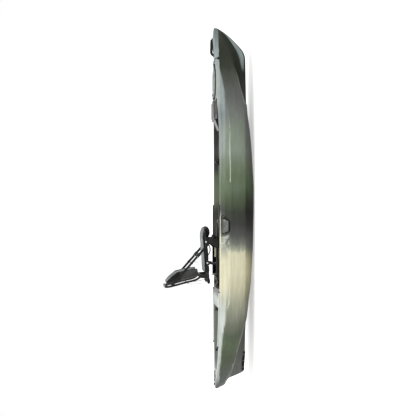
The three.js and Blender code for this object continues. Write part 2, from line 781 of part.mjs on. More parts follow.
// Bow eyes on the sides, with a bungee from one to the other over a hook in front of the hatch
const eyeAhead = 49;
const eyeUpShare = 0.35;
const eyePlateRadius = 13;
const eyePlateHeight = 5;
const eyeWireRadius = 2.5;
const eyeHalfSpan = 9;
const eyeHeight = 16;
const bungeeRadius = 3;
const hookPlateRadius = 11;
const hookPlateHeight = 5;
const hookPostRadius = 4;
const hookPostHeight = 15;
const hookHeadHeight = 3;
const hookClearance = 1.7;
const hookX = hatchPinX + hingeBarrelRadius + hookClearance + hookPlateRadius;

const eyeFrame = sideFrame(1, (hookX + eyeAhead) / halfLength);
const eyeUp = eyeUpShare * eyeFrame.reach;

function onEye(along, up, out) {
  return onSideFrame(eyeFrame, along, eyeUp + up, out);
}

function bowEye() {
  const plate = bar(onEye(0, 0, -overrun), onEye(0, 0, eyePlateHeight), eyePlateRadius, 16);
  const arch = tube([
    onEye(-eyeHalfSpan, 0, eyePlateHeight - eyeWireRadius),
    onEye(-eyeHalfSpan, 0, eyeHeight - 2 * eyeWireRadius),
    onEye(0, 0, eyeHeight),
    onEye(eyeHalfSpan, 0, eyeHeight - 2 * eyeWireRadius),
    onEye(eyeHalfSpan, 0, eyePlateHeight - eyeWireRadius),
  ], eyeWireRadius, 6, 10);
  const seat = eyeFrame.out.clone().multiplyScalar(seatGap);
  return cut(join(plate, arch), hullMoved(seat.x, seat.y, seat.z));
}

function bungeeHook() {
  const foot = at(hookX, 0, deckMiddle(hookX) + seatGap);
  const level = (height) => foot.clone().add(at(0, 0, height));
  return join(
    bar(foot, level(hookPlateHeight), hookPlateRadius, 16),
    bar(level(hookPlateHeight - sink), level(hookPostHeight), hookPostRadius, 12),
    bar(level(hookPostHeight - sink), level(hookPostHeight + hookHeadHeight), 2 * hookPostRadius, 12),
  );
}

// The cord's route, chosen by hand: up and out from the eye, over the gunwale's edge as an inset and a rise,
// then along a straight run to the post of the hook, and mirrored
const bungeeAtEye = [[-8, 9], [3.5, 9.2], [16, 8]];
const bungeeAtEdge = [[-2.5, 3.4], [1.5, 6], [14, 7.5]];
const bungeeRunShares = [0.35, 0.68];
const bungeeOnPost = 9.5;

function bowBungee() {
  const eyeX = eyeFrame.low.x;
  const edge = at(eyeX, alongFaces(eyeX, (place) => hullLines(place).outer[0]), gunwaleTop(eyeX));
  const post = at(hookX - hookPostRadius - bungeeRadius - seatGap, 0, deckMiddle(hookX) + bungeeOnPost);
  const overEdge = bungeeAtEdge.map(([inset, rise]) => edge.clone().add(at(-inset / 2, -inset, rise)));
  const start = overEdge[overEdge.length - 1];
  const beside = post.clone().lerp(start, hookPlateRadius / start.y).add(at(sink, 0, 0));
  const port = [
    ...bungeeAtEye.map(([up, out]) => onEye(0, up, out)),
    ...overEdge,
    ...bungeeRunShares.map((share) => start.clone().lerp(post, share)),
    beside,
    post,
  ];
  const starboard = port.slice(0, -1).reverse().map((point) => at(point.x, -point.y, point.z));
  return tube([...port, ...starboard], bungeeRadius, 6, 44);
}

addPair(kayak, "bow_eye", bowEye(), "black");
addPiece(kayak, "bungee_hook", bungeeHook(), "black");
addPiece(kayak, "bow_bungee", bowBungee(), "rubber");

// Bow hatch: a rim on the deck, a domed lid on a pin at its front and a turning latch at its rear
const hingePinRadius = 3;
const hingeRise = 3;
const knuckleLength = 80;
const earLength = 12;
const pinEndLength = 2;
const lidOverhang = 3;
const lidThickness = 8;
const lidLevelShares = [[0, 1], [0.55, 1], [0.85, 0.975], [1, 0.93]];
const latchRadius = 17;
const latchHeight = 8;
const latchInset = 30;
const latchArmLength = 45;
const latchArmWidth = 16;
const latchTopShare = 0.8;
const latchArmShare = 0.6;
const latchStudRadius = 4;
const latchStudDepth = 3;

const rimTop = hatchDeck + seatGap + hatchRimHeight;
const lidBottom = rimTop + seatGap;
const lidTop = lidBottom + lidThickness;
const hatchPin = at(hatchPinX, 0, rimTop + hingeRise);

function alongPin(pin, from, to, radius, sides = 14) {
  return bar(pin.clone().add(at(0, from, 0)), pin.clone().add(at(0, to, 0)), radius, sides);
}

function hatchRim() {
  const ring = slab(
    oval(hatchX, rimOuterLength, rimOuterWidth),
    hatchDeck + seatGap,
    rimTop,
    oval(hatchX, hatchLength - 2 * lidOverhang, hatchWidth - 2 * lidOverhang),
  );
  const inner = knuckleLength / 2 + seatGap;
  const outer = inner + earLength;
  const web = spanBox(
    at(hatchPin.x - hingeReach - hatchRimWidth / 2, inner, hatchDeck + seatGap),
    at(hatchPin.x + hingeBarrelRadius, outer, rimTop - sink),
  );
  const ear = join(web, alongPin(hatchPin, inner, outer, hingeBarrelRadius));
  const bore = alongPin(hatchPin, -outer - overrun, outer + overrun, hingePinRadius + turnGap);
  const catchEar = spanBox(
    at(hatchX - rimOuterLength / 2 - rimEarLength, -latchArmWidth / 2, hatchDeck + seatGap),
    at(hatchX - rimOuterLength / 2 - lidOverhang - slideGap, latchArmWidth / 2, lidTop),
  );
  const catchFoot = spanBox(
    at(hatchX - rimOuterLength / 2 - rimEarLength, -latchArmWidth / 2, hatchDeck + seatGap),
    at(hatchX - rimOuterLength / 2 + hatchRimWidth / 2, latchArmWidth / 2, rimTop - sink),
  );
  return cut(join(ring, ear, ear.mirror([0, 1, 0]), catchEar, catchFoot), bore);
}

function latchCentre(z) {
  return at(hatchX - rimOuterLength / 2 - lidOverhang + latchInset, 0, z);
}

function hatchLid() {
  const length = rimOuterLength + 2 * lidOverhang;
  const width = rimOuterWidth + 2 * lidOverhang;
  const rings = lidLevelShares.map(([rise, size]) => (
    oval(hatchX, length * size, width * size)
      .map((point) => at(point.x, point.y, mix(lidBottom, lidTop, rise)))
  ));
  const half = knuckleLength / 2;
  const barrel = alongPin(hatchPin, -half, half, hingeBarrelRadius);
  const arm = spanBox(
    at(hatchPin.x - hingeReach - hatchRimWidth / 2, -half, lidBottom),
    at(hatchPin.x, half, lidBottom + lidThickness / 2),
  );
  const bore = alongPin(hatchPin, -half - overrun, half + overrun, hingePinRadius + turnGap);
  const recess = bar(latchCentre(lidTop - latchStudDepth - seatGap), latchCentre(lidTop + overrun),
    latchStudRadius + turnGap, 12);
  return cut(join(loft(rings), barrel, arm), bore, recess);
}

function hatchLatch() {
  const low = lidTop + seatGap;
  const high = low + latchHeight;
  const stud = bar(latchCentre(lidTop - latchStudDepth), latchCentre(low + sink), latchStudRadius, 12);
  const knob = bar(latchCentre(low), latchCentre(high), latchRadius, 20, latchRadius * latchTopShare);
  const centre = latchCentre(low);
  const arm = spanBox(
    at(centre.x - latchArmLength, -latchArmWidth / 2, low),
    at(centre.x, latchArmWidth / 2, mix(low, high, latchArmShare)),
  );
  return join(stud, knob, arm);
}

addPiece(kayak, "hatch_rim", hatchRim(), "black");
const pinOverhang = earLength + pinEndLength;
addPiece(
  kayak,
  "hatch_hinge_pin",
  alongPin(hatchPin, -knuckleLength / 2 - pinOverhang, knuckleLength / 2 + pinOverhang, hingePinRadius, 12),
  "steel",
);
addPiece(kayak, "hatch_lid", hatchLid(), "mottled");
addPiece(kayak, "hatch_latch", hatchLatch(), "black");

// Console over the front of the cockpit: a box that hangs on the gunwales, with a lid hinged at its front
const consoleLength = 193;
const consoleFlangeLap = 14;
const consoleFlangeHeight = 7;
const consoleFlangeDepth = 15;
const consoleBoxWidth = 280;
const consoleBoxDepth = 84;
const consoleBoxRear = 14;
const consoleWall = 4;
const dashLength = 103;
const dashDrop = 40;
const dashWidth = 210;
const dashThickness = 10;
const consoleLidHeight = 15;
const consoleLidWidth = 330;
const consoleLidChamfer = 8;
const consoleLidCorner = 24;
const consoleArmHeight = 5;
const consoleHingeInset = 8;
const consoleKnuckleLength = 120;
const consoleStudLength = 20;

const consoleRear = consoleFront - consoleLength;
const consoleTop = deckMiddle(hatchX) + consoleFlangeHeight;
const consoleLidBottom = consoleTop + seatGap;
const consolePin = at(consoleFront - consoleHingeInset, 0, consoleTop + consoleLidHeight / 2);

function consoleOutline(x) {
  return alongFaces(x, gunwaleInner) + consoleFlangeLap;
}

function consoleBox() {
  const corners = [
    [consoleRear, -consoleOutline(consoleRear)], [consoleFront, -consoleOutline(consoleFront)],
    [consoleFront, consoleOutline(consoleFront)], [consoleRear, consoleOutline(consoleRear)],
  ].map(([x, y]) => new THREE.Vector2(x, y));
  const flange = slab(corners, consoleTop - consoleFlangeHeight - consoleFlangeDepth, consoleTop);
  const bottom = consoleTop - consoleBoxDepth;
  const [boxRear, boxFront] = [consoleRear + consoleBoxRear, consoleFront - consoleBoxFront];
  const body = spanBox(
    at(boxRear, -consoleBoxWidth / 2, bottom),
    at(boxFront, consoleBoxWidth / 2, consoleTop - sink),
  );
  const inside = spanBox(
    at(boxRear + consoleWall, -consoleBoxWidth / 2 + consoleWall, bottom + consoleWall),
    at(boxFront - consoleWall, consoleBoxWidth / 2 - consoleWall, consoleTop + overrun),
  );
  const dashFoot = consoleRear - dashLength;
  const dash = sidePlate([
    [consoleRear + sink, consoleTop], [dashFoot, consoleTop - dashDrop],
    [dashFoot, consoleTop - dashDrop - dashThickness], [consoleRear + sink, consoleTop - 2 * dashThickness],
  ].map(([x, z]) => new THREE.Vector2(x, z)), -dashWidth / 2, dashWidth / 2);
  const earInner = consoleKnuckleLength / 2 + slideGap;
  const earOuter = earInner + earLength;
  const web = spanBox(
    at(consolePin.x - hingeBarrelRadius, earInner, consoleTop - sink),
    at(consolePin.x + hingeBarrelRadius, earOuter, consolePin.z),
  );
  const stud = alongPin(consolePin, earInner - consoleStudLength, earInner + sink, hingePinRadius, 12);
  const ear = join(web, alongPin(consolePin, earInner, earOuter, hingeBarrelRadius), stud);
  const held = cut(flange, hullMoved(0, 0, seatGap));
  return join(cut(join(held, body), inside), dash, ear, ear.mirror([0, 1, 0]));
}

function consoleLid() {
  const half = consoleLidWidth / 2;
  const front = consolePin.x - hingeBarrelRadius - slideGap;
  const rear = consoleRear + slideGap;
  const ring = (inset, z) => {
    const corner = consoleLidCorner;
    const [x0, x1, y] = [rear + inset, front - inset, half - inset];
    return [
      at(x0 + corner, -y, z), at(x1, -y, z), at(x1, y, z), at(x0 + corner, y, z),
      at(x0, y - corner, z), at(x0, -y + corner, z),
    ];
  };
  const top = consoleLidBottom + consoleLidHeight;
  const cover = loft([
    ring(0, consoleLidBottom), ring(0, top - consoleLidChamfer), ring(consoleLidChamfer, top),
  ]);
  const knuckle = consoleKnuckleLength / 2;
  const barrel = alongPin(consolePin, -knuckle, knuckle, hingeBarrelRadius);
  const arm = spanBox(
    at(front - overrun, -knuckle, consoleLidBottom),
    at(consolePin.x, knuckle, consoleLidBottom + consoleArmHeight),
  );
  const bore = alongPin(consolePin, -knuckle - overrun, knuckle + overrun, hingePinRadius + turnGap);
  return cut(join(cover, barrel, arm), bore);
}

addPiece(kayak, "console_box", consoleBox(), "black");
addPiece(kayak, "console_lid", consoleLid(), "mottled");

// Foot braces: a rail on each cockpit wall, with a pedal that slides along it and a lock lever
const footRailShares = [0.197, 0.388];
const footRailHeightShare = 0.75;
const footRailWidth = 16;
const footRailDepth = 14;
const carriageLength = 70;
const carriageWall = 6;
const carriageLip = 5;
const carriageLap = 8;
const pedalPlaceShare = 0.34;
const pedalWidth = 88;
const pedalDrop = 84;
const pedalRise = 44;
const pedalThickness = 14;
const pedalLean = THREE.MathUtils.degToRad(12);
const lockLength = 52;
const lockWidth = 13;
const lockThickness = 6;
const lockPinRadius = 3;
const lockDrop = 20;

function cockpitWall(x, z) {
  return alongFaces(x, (place) => {
    const { inner } = hullLines(place);
    const [foot] = deckPoints(place);
    return mix(inner[0], foot[0], (inner[1] - z) / (inner[1] - foot[1]));
  });
}

const railHeight = footRailHeightShare * hullHeight;
const footRailEnds = footRailShares.map((share) => {
  const x = share * halfLength;
  return at(x, cockpitWall(x, railHeight) - footRailDepth, railHeight);
});
const footRailRun = footRailEnds[1].clone().sub(footRailEnds[0]).normalize();

function footRail() {
  const half = footRailWidth / 2;
  const rings = footRailEnds.map((end) => [
    end.clone().add(at(0, 0, -half)),
    end.clone().add(at(0, footRailDepth + overrun, -half)),
    end.clone().add(at(0, footRailDepth + overrun, half)),
    end.clone().add(at(0, 0, half)),
  ]);
  return cut(loft(rings), hullMoved(0, -seatGap, 0));
}

// The carriage is built with X along the rail and Y from the rail's face to the middle of the cockpit
function inRailFrame(solid) {
  const origin = footRailEnds[0].clone().lerp(footRailEnds[1], pedalPlaceShare);
  return framed(solid, origin, footRailRun.clone().negate(), at(0, 0, 1));
}

function lockPinAt(y) {
  return at(0, y, -lockDrop);
}

function footPedal() {
  const half = footRailWidth / 2 + slideGap;
  const face = spanBox(
    at(-carriageLength / 2, slideGap, -lockDrop - lockWidth),
    at(carriageLength / 2, slideGap + carriageWall, half + carriageLip),
  );
  const lip = spanBox(
    at(-carriageLength / 2, -carriageLap, half),
    at(carriageLength / 2, slideGap + sink, half + carriageLip),
  );
  const lowerLip = lip.mirror([0, 0, 1]);
  const pedalFoot = -pedalDrop;
  const shift = Math.tan(pedalLean) * (pedalRise + pedalDrop);
  const plate = sidePlate([
    [0, pedalFoot], [pedalThickness, pedalFoot],
    [pedalThickness + shift, pedalRise], [shift, pedalRise],
  ].map(([x, z]) => new THREE.Vector2(x - carriageLength / 2, z)),
  slideGap + carriageWall - sink, slideGap + carriageWall + pedalWidth);
  const pin = bar(lockPinAt(slideGap + carriageWall - sink), lockPinAt(slideGap + carriageWall + lockThickness + sink),
    lockPinRadius, 10);
  return inRailFrame(join(face, lip, lowerLip, plate, pin));
}

function footLock() {
  const low = slideGap + carriageWall + slideGap;
  const high = low + lockThickness;
  const pad = spanBox(
    at(0, low, -lockDrop - lockWidth / 2),
    at(lockLength, high, -lockDrop + lockWidth / 2),
  );
  const eye = bar(lockPinAt(low), lockPinAt(high), lockWidth / 2, 14);
  return inRailFrame(cut(join(pad, eye), bar(lockPinAt(-overrun), lockPinAt(2 * overrun), lockPinRadius + turnGap, 10)));
}

addPair(kayak, "foot_rail", footRail(), "aluminium");
addPair(kayak, "foot_pedal", footPedal(), "black");
addPair(kayak, "foot_lock", footLock(), "black");

// Hooks inside the tankwell's walls
const tankHookShares = { front: -0.575, rear: -0.8 };
const tankHookDrop = 26;
const tankHookLength = 36;
const tankHookHeight = 24;
const tankHookPlate = 5;
const tankHookReach = 18;
const tankHookPinRadius = 4;
const tankHookHeadRadius = 7;

function tankHook(share) {
  const x = share * halfLength;
  const z = gunwaleTop(x) - tankHookDrop;
  const wall = cockpitWall(x, z);
  const plate = spanBox(
    at(x - tankHookLength / 2, wall - tankHookPlate - sink, z - tankHookHeight / 2),
    at(x + tankHookLength / 2, wall + overrun, z + tankHookHeight / 2),
  );
  const tip = wall - tankHookReach;
  const pin = bar(at(x, wall - tankHookPlate, z), at(x, tip, z), tankHookPinRadius, 10);
  const head = bar(at(x, tip + tankHookPinRadius, z), at(x, tip, z), tankHookHeadRadius, 12);
  return join(cut(plate, hullMoved(0, -seatGap, 0)), pin, head);
}

for (const [end, share] of Object.entries(tankHookShares)) {
  addPair(kayak, `tank_hook_${end}`, tankHook(share), "black");
}

// Drain plug, screwed into the stern deck
const plugHeadHeight = 5;
const plugShankLength = 18;
const plugTopShare = 0.9;
const plugGripShare = 0.7;
const plugGripHeight = 5;
const plugGripWidth = 6;
const plugLift = 0.6;

function drainPlug() {
  const low = drainDeck + plugLift;
  const level = (z) => at(drainX, 0, z);
  const head = bar(level(low), level(low + plugHeadHeight), plugHeadRadius, 20, plugHeadRadius * plugTopShare);
  const shank = bar(level(low - plugShankLength), level(low + sink), drainRadius - turnGap, 16);
  const grip = spanBox(
    at(drainX - plugHeadRadius * plugGripShare, -plugGripWidth / 2, low + plugHeadHeight - sink),
    at(drainX + plugHeadRadius * plugGripShare, plugGripWidth / 2, low + plugHeadHeight + plugGripHeight),
  );
  return join(head, shank, grip);
}

addPiece(kayak, "drain_plug", drainPlug(), "black");

// Side carry handles: a bail of two straps and a grip that hangs in each pocket from a plate with two lugs
const lugHalfSpan = 84;
const lugUpShare = 0.78;
const lugLength = 6;
const lugRadius = 7;
const lugPinRadius = 3;
const lugPinLength = 13;
const sidePlateHeight = 16;
const sidePlateThickness = 3;
const sidePlateMargin = 6;
const handleEyeLength = 11;
const handleDropShare = 0.58;
const handleGripLength = 92;
const handleGripRadius = 9;
const handleStrapWidth = 18;
const handleStrapThickness = 4;
const handleStrapInset = 6;
const lugLift = 1;

const handleFrame = sideFrame(1, sideHandleShare);
const lugUp = lugUpShare * handleFrame.reach;
const lugOut = -pocketDepth + sidePlateThickness + lugRadius + lugLift;
const handleDrop = handleDropShare * handleFrame.reach;
const handleOrigin = onSideFrame(handleFrame, 0, lugUp, lugOut);

// The handle is built with X along the hull, Y outwards from the pocket and Z up the side
function inPocket(solid) {
  return framed(solid, handleOrigin, at(1, 0, 0), handleFrame.up);
}

function pocketBar(fromX, toX, radius, sides = 12) {
  return bar(at(fromX, 0, 0), at(toX, 0, 0), radius, sides);
}

function sideHandlePlate() {
  const floor = -pocketDepth - lugOut;
  const half = lugHalfSpan + lugLength / 2 + sidePlateMargin;
  const plate = spanBox(
    at(-half, floor + seatGap, -sidePlateHeight / 2),
    at(half, floor + sidePlateThickness, sidePlateHeight / 2),
  );
  const lug = (sign) => {
    const inner = sign * (lugHalfSpan - lugLength / 2);
    const outer = sign * (lugHalfSpan + lugLength / 2);
    return join(
      pocketBar(inner, outer, lugRadius, 14),
      spanBox(at(inner, floor + seatGap, -lugRadius), at(outer, 0, lugRadius)),
      pocketBar(inner + sign * sink, inner - sign * lugPinLength, lugPinRadius),
    );
  };
  return inPocket(join(plate, lug(1), lug(-1)));
}

function sideHandle() {
  const halfGrip = handleGripLength / 2;
  const grip = bar(at(-halfGrip, 0, -handleDrop), at(halfGrip, 0, -handleDrop), handleGripRadius, 12);
  const eyeFrom = lugHalfSpan - lugLength / 2 - slideGap;
  const strapAt = (sign) => {
    const eye = pocketBar(sign * eyeFrom, sign * (eyeFrom - handleEyeLength), lugRadius, 14);
    const bore = pocketBar(sign * (eyeFrom + overrun), sign * (eyeFrom - handleEyeLength - overrun),
      lugPinRadius + turnGap);
    const top = at(sign * (eyeFrom - handleEyeLength / 2), 0, 0);
    const foot = at(sign * (halfGrip - handleStrapInset), 0, -handleDrop);
    const half = handleStrapWidth / 2;
    const thick = handleStrapThickness / 2;
    const ring = (point, width) => [
      at(point.x - width, -thick, point.z), at(point.x + width, -thick, point.z),
      at(point.x + width, thick, point.z), at(point.x - width, thick, point.z),
    ];
    const strap = loft([ring(foot, half), ring(top, handleEyeLength / 2)]);
    return cut(join(eye, strap), bore);
  };
  return inPocket(join(grip, strapAt(1), strapAt(-1)));
}

addPair(kayak, "side_handle_plate", sideHandlePlate(), "black");
addPair(kayak, "side_handle", sideHandle(), "black");

// Seat: everything from here on is built round the front lower pivots
const shoeHeight = 24;
const shoeWidth = 44;
const shoeSink = 4;
const shoeLip = 4;
const shoeLapShare = 0.7;
const frontShoeLength = 90;
const rearShoeLength = 116;
const runnerFront = 75;
const runnerRear = 330;
const crossRadius = 9;
const crossInset = 14;
const legThickness = 10;
const legWidth = 18;
const legPinRadius = 5;
const bossRadius = 10;
const legCrossRadius = 7;
const legCrossShare = 0.3;
const railAhead = 140;
const hubAlongRail = 333;
const hubRise = 72.6;
const hubRadius = 20;
const hubLength = 20;
const bracketThickness = 8;
const bracketRadius = 18;
const bracketFoot = 25;
const backInset = 17;
const backTubeRadius = 10;
const backTubeOffset = 22;
const strapPegRadius = 5;
const strapPegOutside = 21;
const strapPegAlongRail = 42;
const strapPegUpBack = 305;

const ledgeLevel = hullHeight * ledgeHeightShare;
const trackTop = ledgeLevel + seatGap + trackHeight;
const shoeTop = trackTop + seatGap + shoeHeight;
const runnerLevel = shoeTop + seatTubeRadius - shoeSink;

function seatTrack() {
  return loft([trackRear, trackFront].map((x) => trackRing(x, runnerHalfSpan, ledgeLevel + seatGap)));
}

addPair(kayak, "seat_track", seatTrack(), "aluminium");

const seat = new THREE.Group();
seat.position.set(seatX, 0, runnerLevel);
kayak.add(seat);

// Directions in the seat's own frame: the rail's run, and the legs from their lower to their upper pivots
const railRun = at(Math.cos(seatSlope), 0, Math.sin(seatSlope));
const legRun = at(Math.sin(legLean), 0, Math.cos(legLean));
const frontPivot = at(0, 0, 0);
const rearPivot = railRun.clone().multiplyScalar(-legSpread);
const backHalfSpan = railHalfSpan - backInset;
const strapPegOut = railHalfSpan + strapPegOutside;
const legMiddle = (runnerHalfSpan + railHalfSpan) / 2;
const legInner = legMiddle - legThickness / 2;
const legOuter = legMiddle + legThickness / 2;

function atY(point, y) {
  return at(point.x, y, point.z);
}

function topPivot(pivot) {
  return pivot.clone().addScaledVector(legRun, legLength);
}

// A point of the seat rail's middle line, counted from the front leg's upper pivot
function onRail(along) {
  return topPivot(frontPivot).addScaledVector(railRun, along);
}

function seatRunner() {
  const line = bar(at(-runnerRear, runnerHalfSpan, 0), at(runnerFront, runnerHalfSpan, 0), seatTubeRadius, 12);
  const bottom = trackTop + seatGap - runnerLevel;
  const top = bottom + shoeHeight;
  const shoe = (middle, length) => {
    const block = (halfWidth, low, high) => spanBox(
      at(middle - length / 2, runnerHalfSpan - halfWidth, low),
      at(middle + length / 2, runnerHalfSpan + halfWidth, high),
    );
    const outer = block(shoeWidth / 2, bottom - trackHeight * shoeLapShare, top);
    const rail = block(trackWidth / 2 + slideGap, bottom - trackHeight - overrun, bottom);
    const shoulder = spanBox(
      at(middle - length / 2, legOuter + slideGap, bottom),
      at(middle + length / 2, runnerHalfSpan + shoeWidth / 2 - shoeLip, top),
    );
    const trimmed = block(shoeWidth / 2, bottom, top);
    return join(cut(outer, rail, trimmed), shoulder, block(shoeWidth / 2, bottom, bottom + shoeLip));
  };
  const boss = (pivot) => join(
    bar(atY(pivot, legOuter + slideGap), atY(pivot, runnerHalfSpan), bossRadius, 14),
    bar(atY(pivot, legInner - slideGap), atY(pivot, runnerHalfSpan), legPinRadius, 12),
  );
  return join(
    line, shoe(frontPivot.x, frontShoeLength), shoe(rearPivot.x, rearShoeLength), boss(frontPivot), boss(rearPivot),
  );
}

function crossTube(point, halfSpan, radius) {
  return bar(atY(point, -halfSpan), atY(point, halfSpan), radius, 12);
}

addPair(seat, "seat_runner", seatRunner(), "frame");
const runnerCrossSpan = runnerHalfSpan - seatTubeRadius - seatGap;
const runnerCrossPlaces = { front: runnerFront - crossInset, rear: crossInset - runnerRear };
for (const [end, x] of Object.entries(runnerCrossPlaces)) {
  addPiece(seat, `runner_cross_${end}`, crossTube(at(x, 0, 0), runnerCrossSpan, crossRadius), "frame");
}

function seatLeg(pivot) {
  const top = topPivot(pivot);
  const half = legWidth / 2;
  const side = at(legRun.z, 0, -legRun.x).multiplyScalar(half);
  const corners = [
    pivot.clone().sub(side), pivot.clone().add(side), top.clone().add(side), top.clone().sub(side),
  ].map((point) => new THREE.Vector2(point.x, point.z));
  const eyes = [pivot, top].map((point) => bar(atY(point, legInner), atY(point, legOuter), bossRadius, 16));
  const bores = [pivot, top].map((point) => (
    bar(atY(point, legInner - overrun), atY(point, legOuter + overrun), legPinRadius + turnGap, 16)
  ));
  return cut(join(sidePlate(corners, legInner, legOuter), ...eyes), ...bores);
}

const legCrossSpan = legInner - seatGap;
for (const [end, pivot] of Object.entries({ front: frontPivot, rear: rearPivot })) {
  addPair(seat, `${end}_leg`, seatLeg(pivot), "frame");
  const middle = pivot.clone().addScaledVector(legRun, legLength * legCrossShare);
  addPiece(seat, `${end}_leg_cross`, crossTube(middle, legCrossSpan, legCrossRadius), "frame");
}

const hub = onRail(-hubAlongRail).add(at(0, 0, hubRise));

function seatRail() {
  const ends = [onRail(railAhead - seatLength), onRail(railAhead)].map((point) => atY(point, railHalfSpan));
  const line = bar(...ends, seatTubeRadius, 12);
  const boss = (pivot) => join(
    bar(atY(pivot, railHalfSpan), atY(pivot, legInner - slideGap), bossRadius, 14),
    bar(atY(pivot, railHalfSpan), atY(pivot, legOuter + slideGap), legPinRadius, 12),
  );
  const bracketInner = backHalfSpan + hubLength / 2 + slideGap + turnGap;
  const bracketOuter = bracketInner + bracketThickness;
  const foot = onRail(-hubAlongRail);
  const outline = [
    [foot.x - bracketFoot, foot.z], [foot.x + bracketFoot, foot.z],
    [hub.x + bracketRadius, hub.z], [hub.x - bracketRadius, hub.z],
  ].map(([x, z]) => new THREE.Vector2(x, z));
  const bracket = join(
    sidePlate(outline, bracketInner, bracketOuter),
    bar(atY(hub, bracketInner), atY(hub, bracketOuter), bracketRadius, 20),
    bar(atY(hub, backHalfSpan - hubLength / 2 - slideGap), atY(hub, bracketInner + sink), legPinRadius, 12),
  );
  const pegFoot = onRail(-strapPegAlongRail);
  const peg = bar(atY(pegFoot, railHalfSpan), atY(pegFoot, strapPegOut), strapPegRadius, 10);
  return join(line, boss(topPivot(frontPivot)), boss(topPivot(rearPivot)), bracket, peg);
}

addPair(seat, "seat_rail", seatRail(), "frame");
const seatCrossSpan = railHalfSpan - seatTubeRadius - seatGap;
const seatCrossPlaces = { front: railAhead - crossInset, rear: railAhead - seatLength + crossInset };
for (const [end, along] of Object.entries(seatCrossPlaces)) {
  addPiece(seat, `seat_cross_${end}`, crossTube(onRail(along), seatCrossSpan, crossRadius), "frame");
}

// Seat pad: a sling over the rails that sags between them, with a crown, drawn-in sides and sewn channels
const padRear = 304;
const padFront = 149;
const padSag = 13;
const padTop = 27;
const padCrown = 6;
const padLap = 11;
const padDrawIn = 5;
const padChannelDepth = 3;
const padLift = 0.8;
const padStepIn = 6;
const padRollDrop = 13;
const padEndShare = 0.03;
const padLowEdgeShare = 0.45;
const padRollShare = 0.84;
const padCrownShares = [[0.75, 0.45], [0.5, 0.75], [0.25, 0.95]];
const padPlaceShares = [
  0, 0.012, 0.04, 0.16, 0.3, 0.315, 0.33, 0.5, 0.6, 0.615, 0.63, 0.78, 0.86, 0.9, 0.945, 0.985, 1,
];
const padChannelShares = [0.315, 0.615];
const padHollowShares = [[0.03, 0.05], [0.88, 0.84]];
const tiny = 1e-6;

function padSection(share) {
  const along = mix(-padRear, padFront, share);
  const end = Math.min(ramp(share, 0, padEndShare), ramp(share, 1, 1 - padEndShare));
  const round = Math.sqrt(end);
  const over = seatTubeRadius + padLift;
  const hollow = weightBetween(share, ...padHollowShares);
  const bottom = mix(over, -padSag, hollow);
  const roll = padRollDrop * ramp(share, padRollShare, 1) ** 2;
  const channel = padChannelShares.some((place) => Math.abs(place - share) < tiny) ? padChannelDepth : 0;
  const top = Math.max(padTop - roll - channel, over + padLift);
  const edge = mix(over, top, mix(padLowEdgeShare, 1, round));
  const half = railHalfSpan + padLap - padDrawIn * Math.sin(Math.PI * share) - padDrawIn * (1 - round);
  const inner = railHalfSpan - seatTubeRadius - padStepIn;
  const crown = (padCrown - channel / 2) * round;
  const points = [
    [0, bottom], [inner / 2, bottom], [inner - padLift, bottom], [inner, over], [half - padLift, over],
    [half, (over + edge) / 2], [half - padStepIn, edge],
    ...padCrownShares.map(([across, rise]) => [half * across, edge + crown * rise]),
    [0, edge + crown],
  ];
  const place3 = ([y, z]) => {
    const middle = onRail(along);
    return at(middle.x - railRun.z * z, y, middle.z + railRun.x * z);
  };
  const port = points.map(place3);
  const starboard = points.slice(1, -1).reverse().map(([y, z]) => place3([-y, z]));
  return [...port, ...starboard];
}

addPiece(seat, "seat_pad", loft(padPlaceShares.map(padSection)), "fabric");

// Backrest, built upright at its hub and leant back as a group
const back = new THREE.Group();
back.position.copy(hub);
back.rotation.y = -backLean;
seat.add(back);

// The upright's line, as shares of its offset behind the hub and of its height
const uprightHeight = 365;
const uprightShares = [[0, 0], [0.36, 0.035], [1, 0.128], [1, 0.436], [1, 0.785], [0.82, 0.93], [0.36, 1]];
const uprightPoints = uprightShares.map(([behind, up]) => (
  at(-backTubeOffset * behind, backHalfSpan, uprightHeight * up)
));

function backUpright() {
  const line = tube(uprightPoints, backTubeRadius, 10, 16);
  const low = backHalfSpan - hubLength / 2;
  const high = backHalfSpan + hubLength / 2;
  const ring = bar(at(0, low, 0), at(0, high, 0), hubRadius, 20);
  const bore = bar(at(0, low - overrun, 0), at(0, high + overrun, 0), legPinRadius + turnGap, 12);
  const peg = bar(
    at(-backTubeOffset, backHalfSpan, strapPegUpBack),
    at(-backTubeOffset, strapPegOut, strapPegUpBack),
    strapPegRadius,
    10,
  );
  return cut(join(line, ring, peg), bore);
}

addPair(back, "back_upright", backUpright(), "frame");
const backCrossSpan = backHalfSpan - backTubeRadius - seatGap;
const topTubeBehind = 11;
const topTubeArch = 11;
const topTubeShares = [[-1, 0], [-0.86, 0], [0, 1], [0.86, 0], [1, 0]];
const topTubeLevel = backHeight - 2 * backTubeRadius - sink;
addPiece(back, "back_top_tube", tube(topTubeShares.map(([across, rise]) => (
  at(-topTubeBehind, backCrossSpan * across, topTubeLevel + topTubeArch * rise)
)), backTubeRadius, 10, 12), "frame");
const bottomTubeRadius = 8;
const bottomTubeForward = 11;
const bottomTubeSpan = backHalfSpan - hubLength / 2 - 2 * slideGap;
addPiece(back, "back_bottom_tube", bar(
  at(bottomTubeForward, -bottomTubeSpan, 0),
  at(bottomTubeForward, bottomTubeSpan, 0),
  bottomTubeRadius,
), "frame");

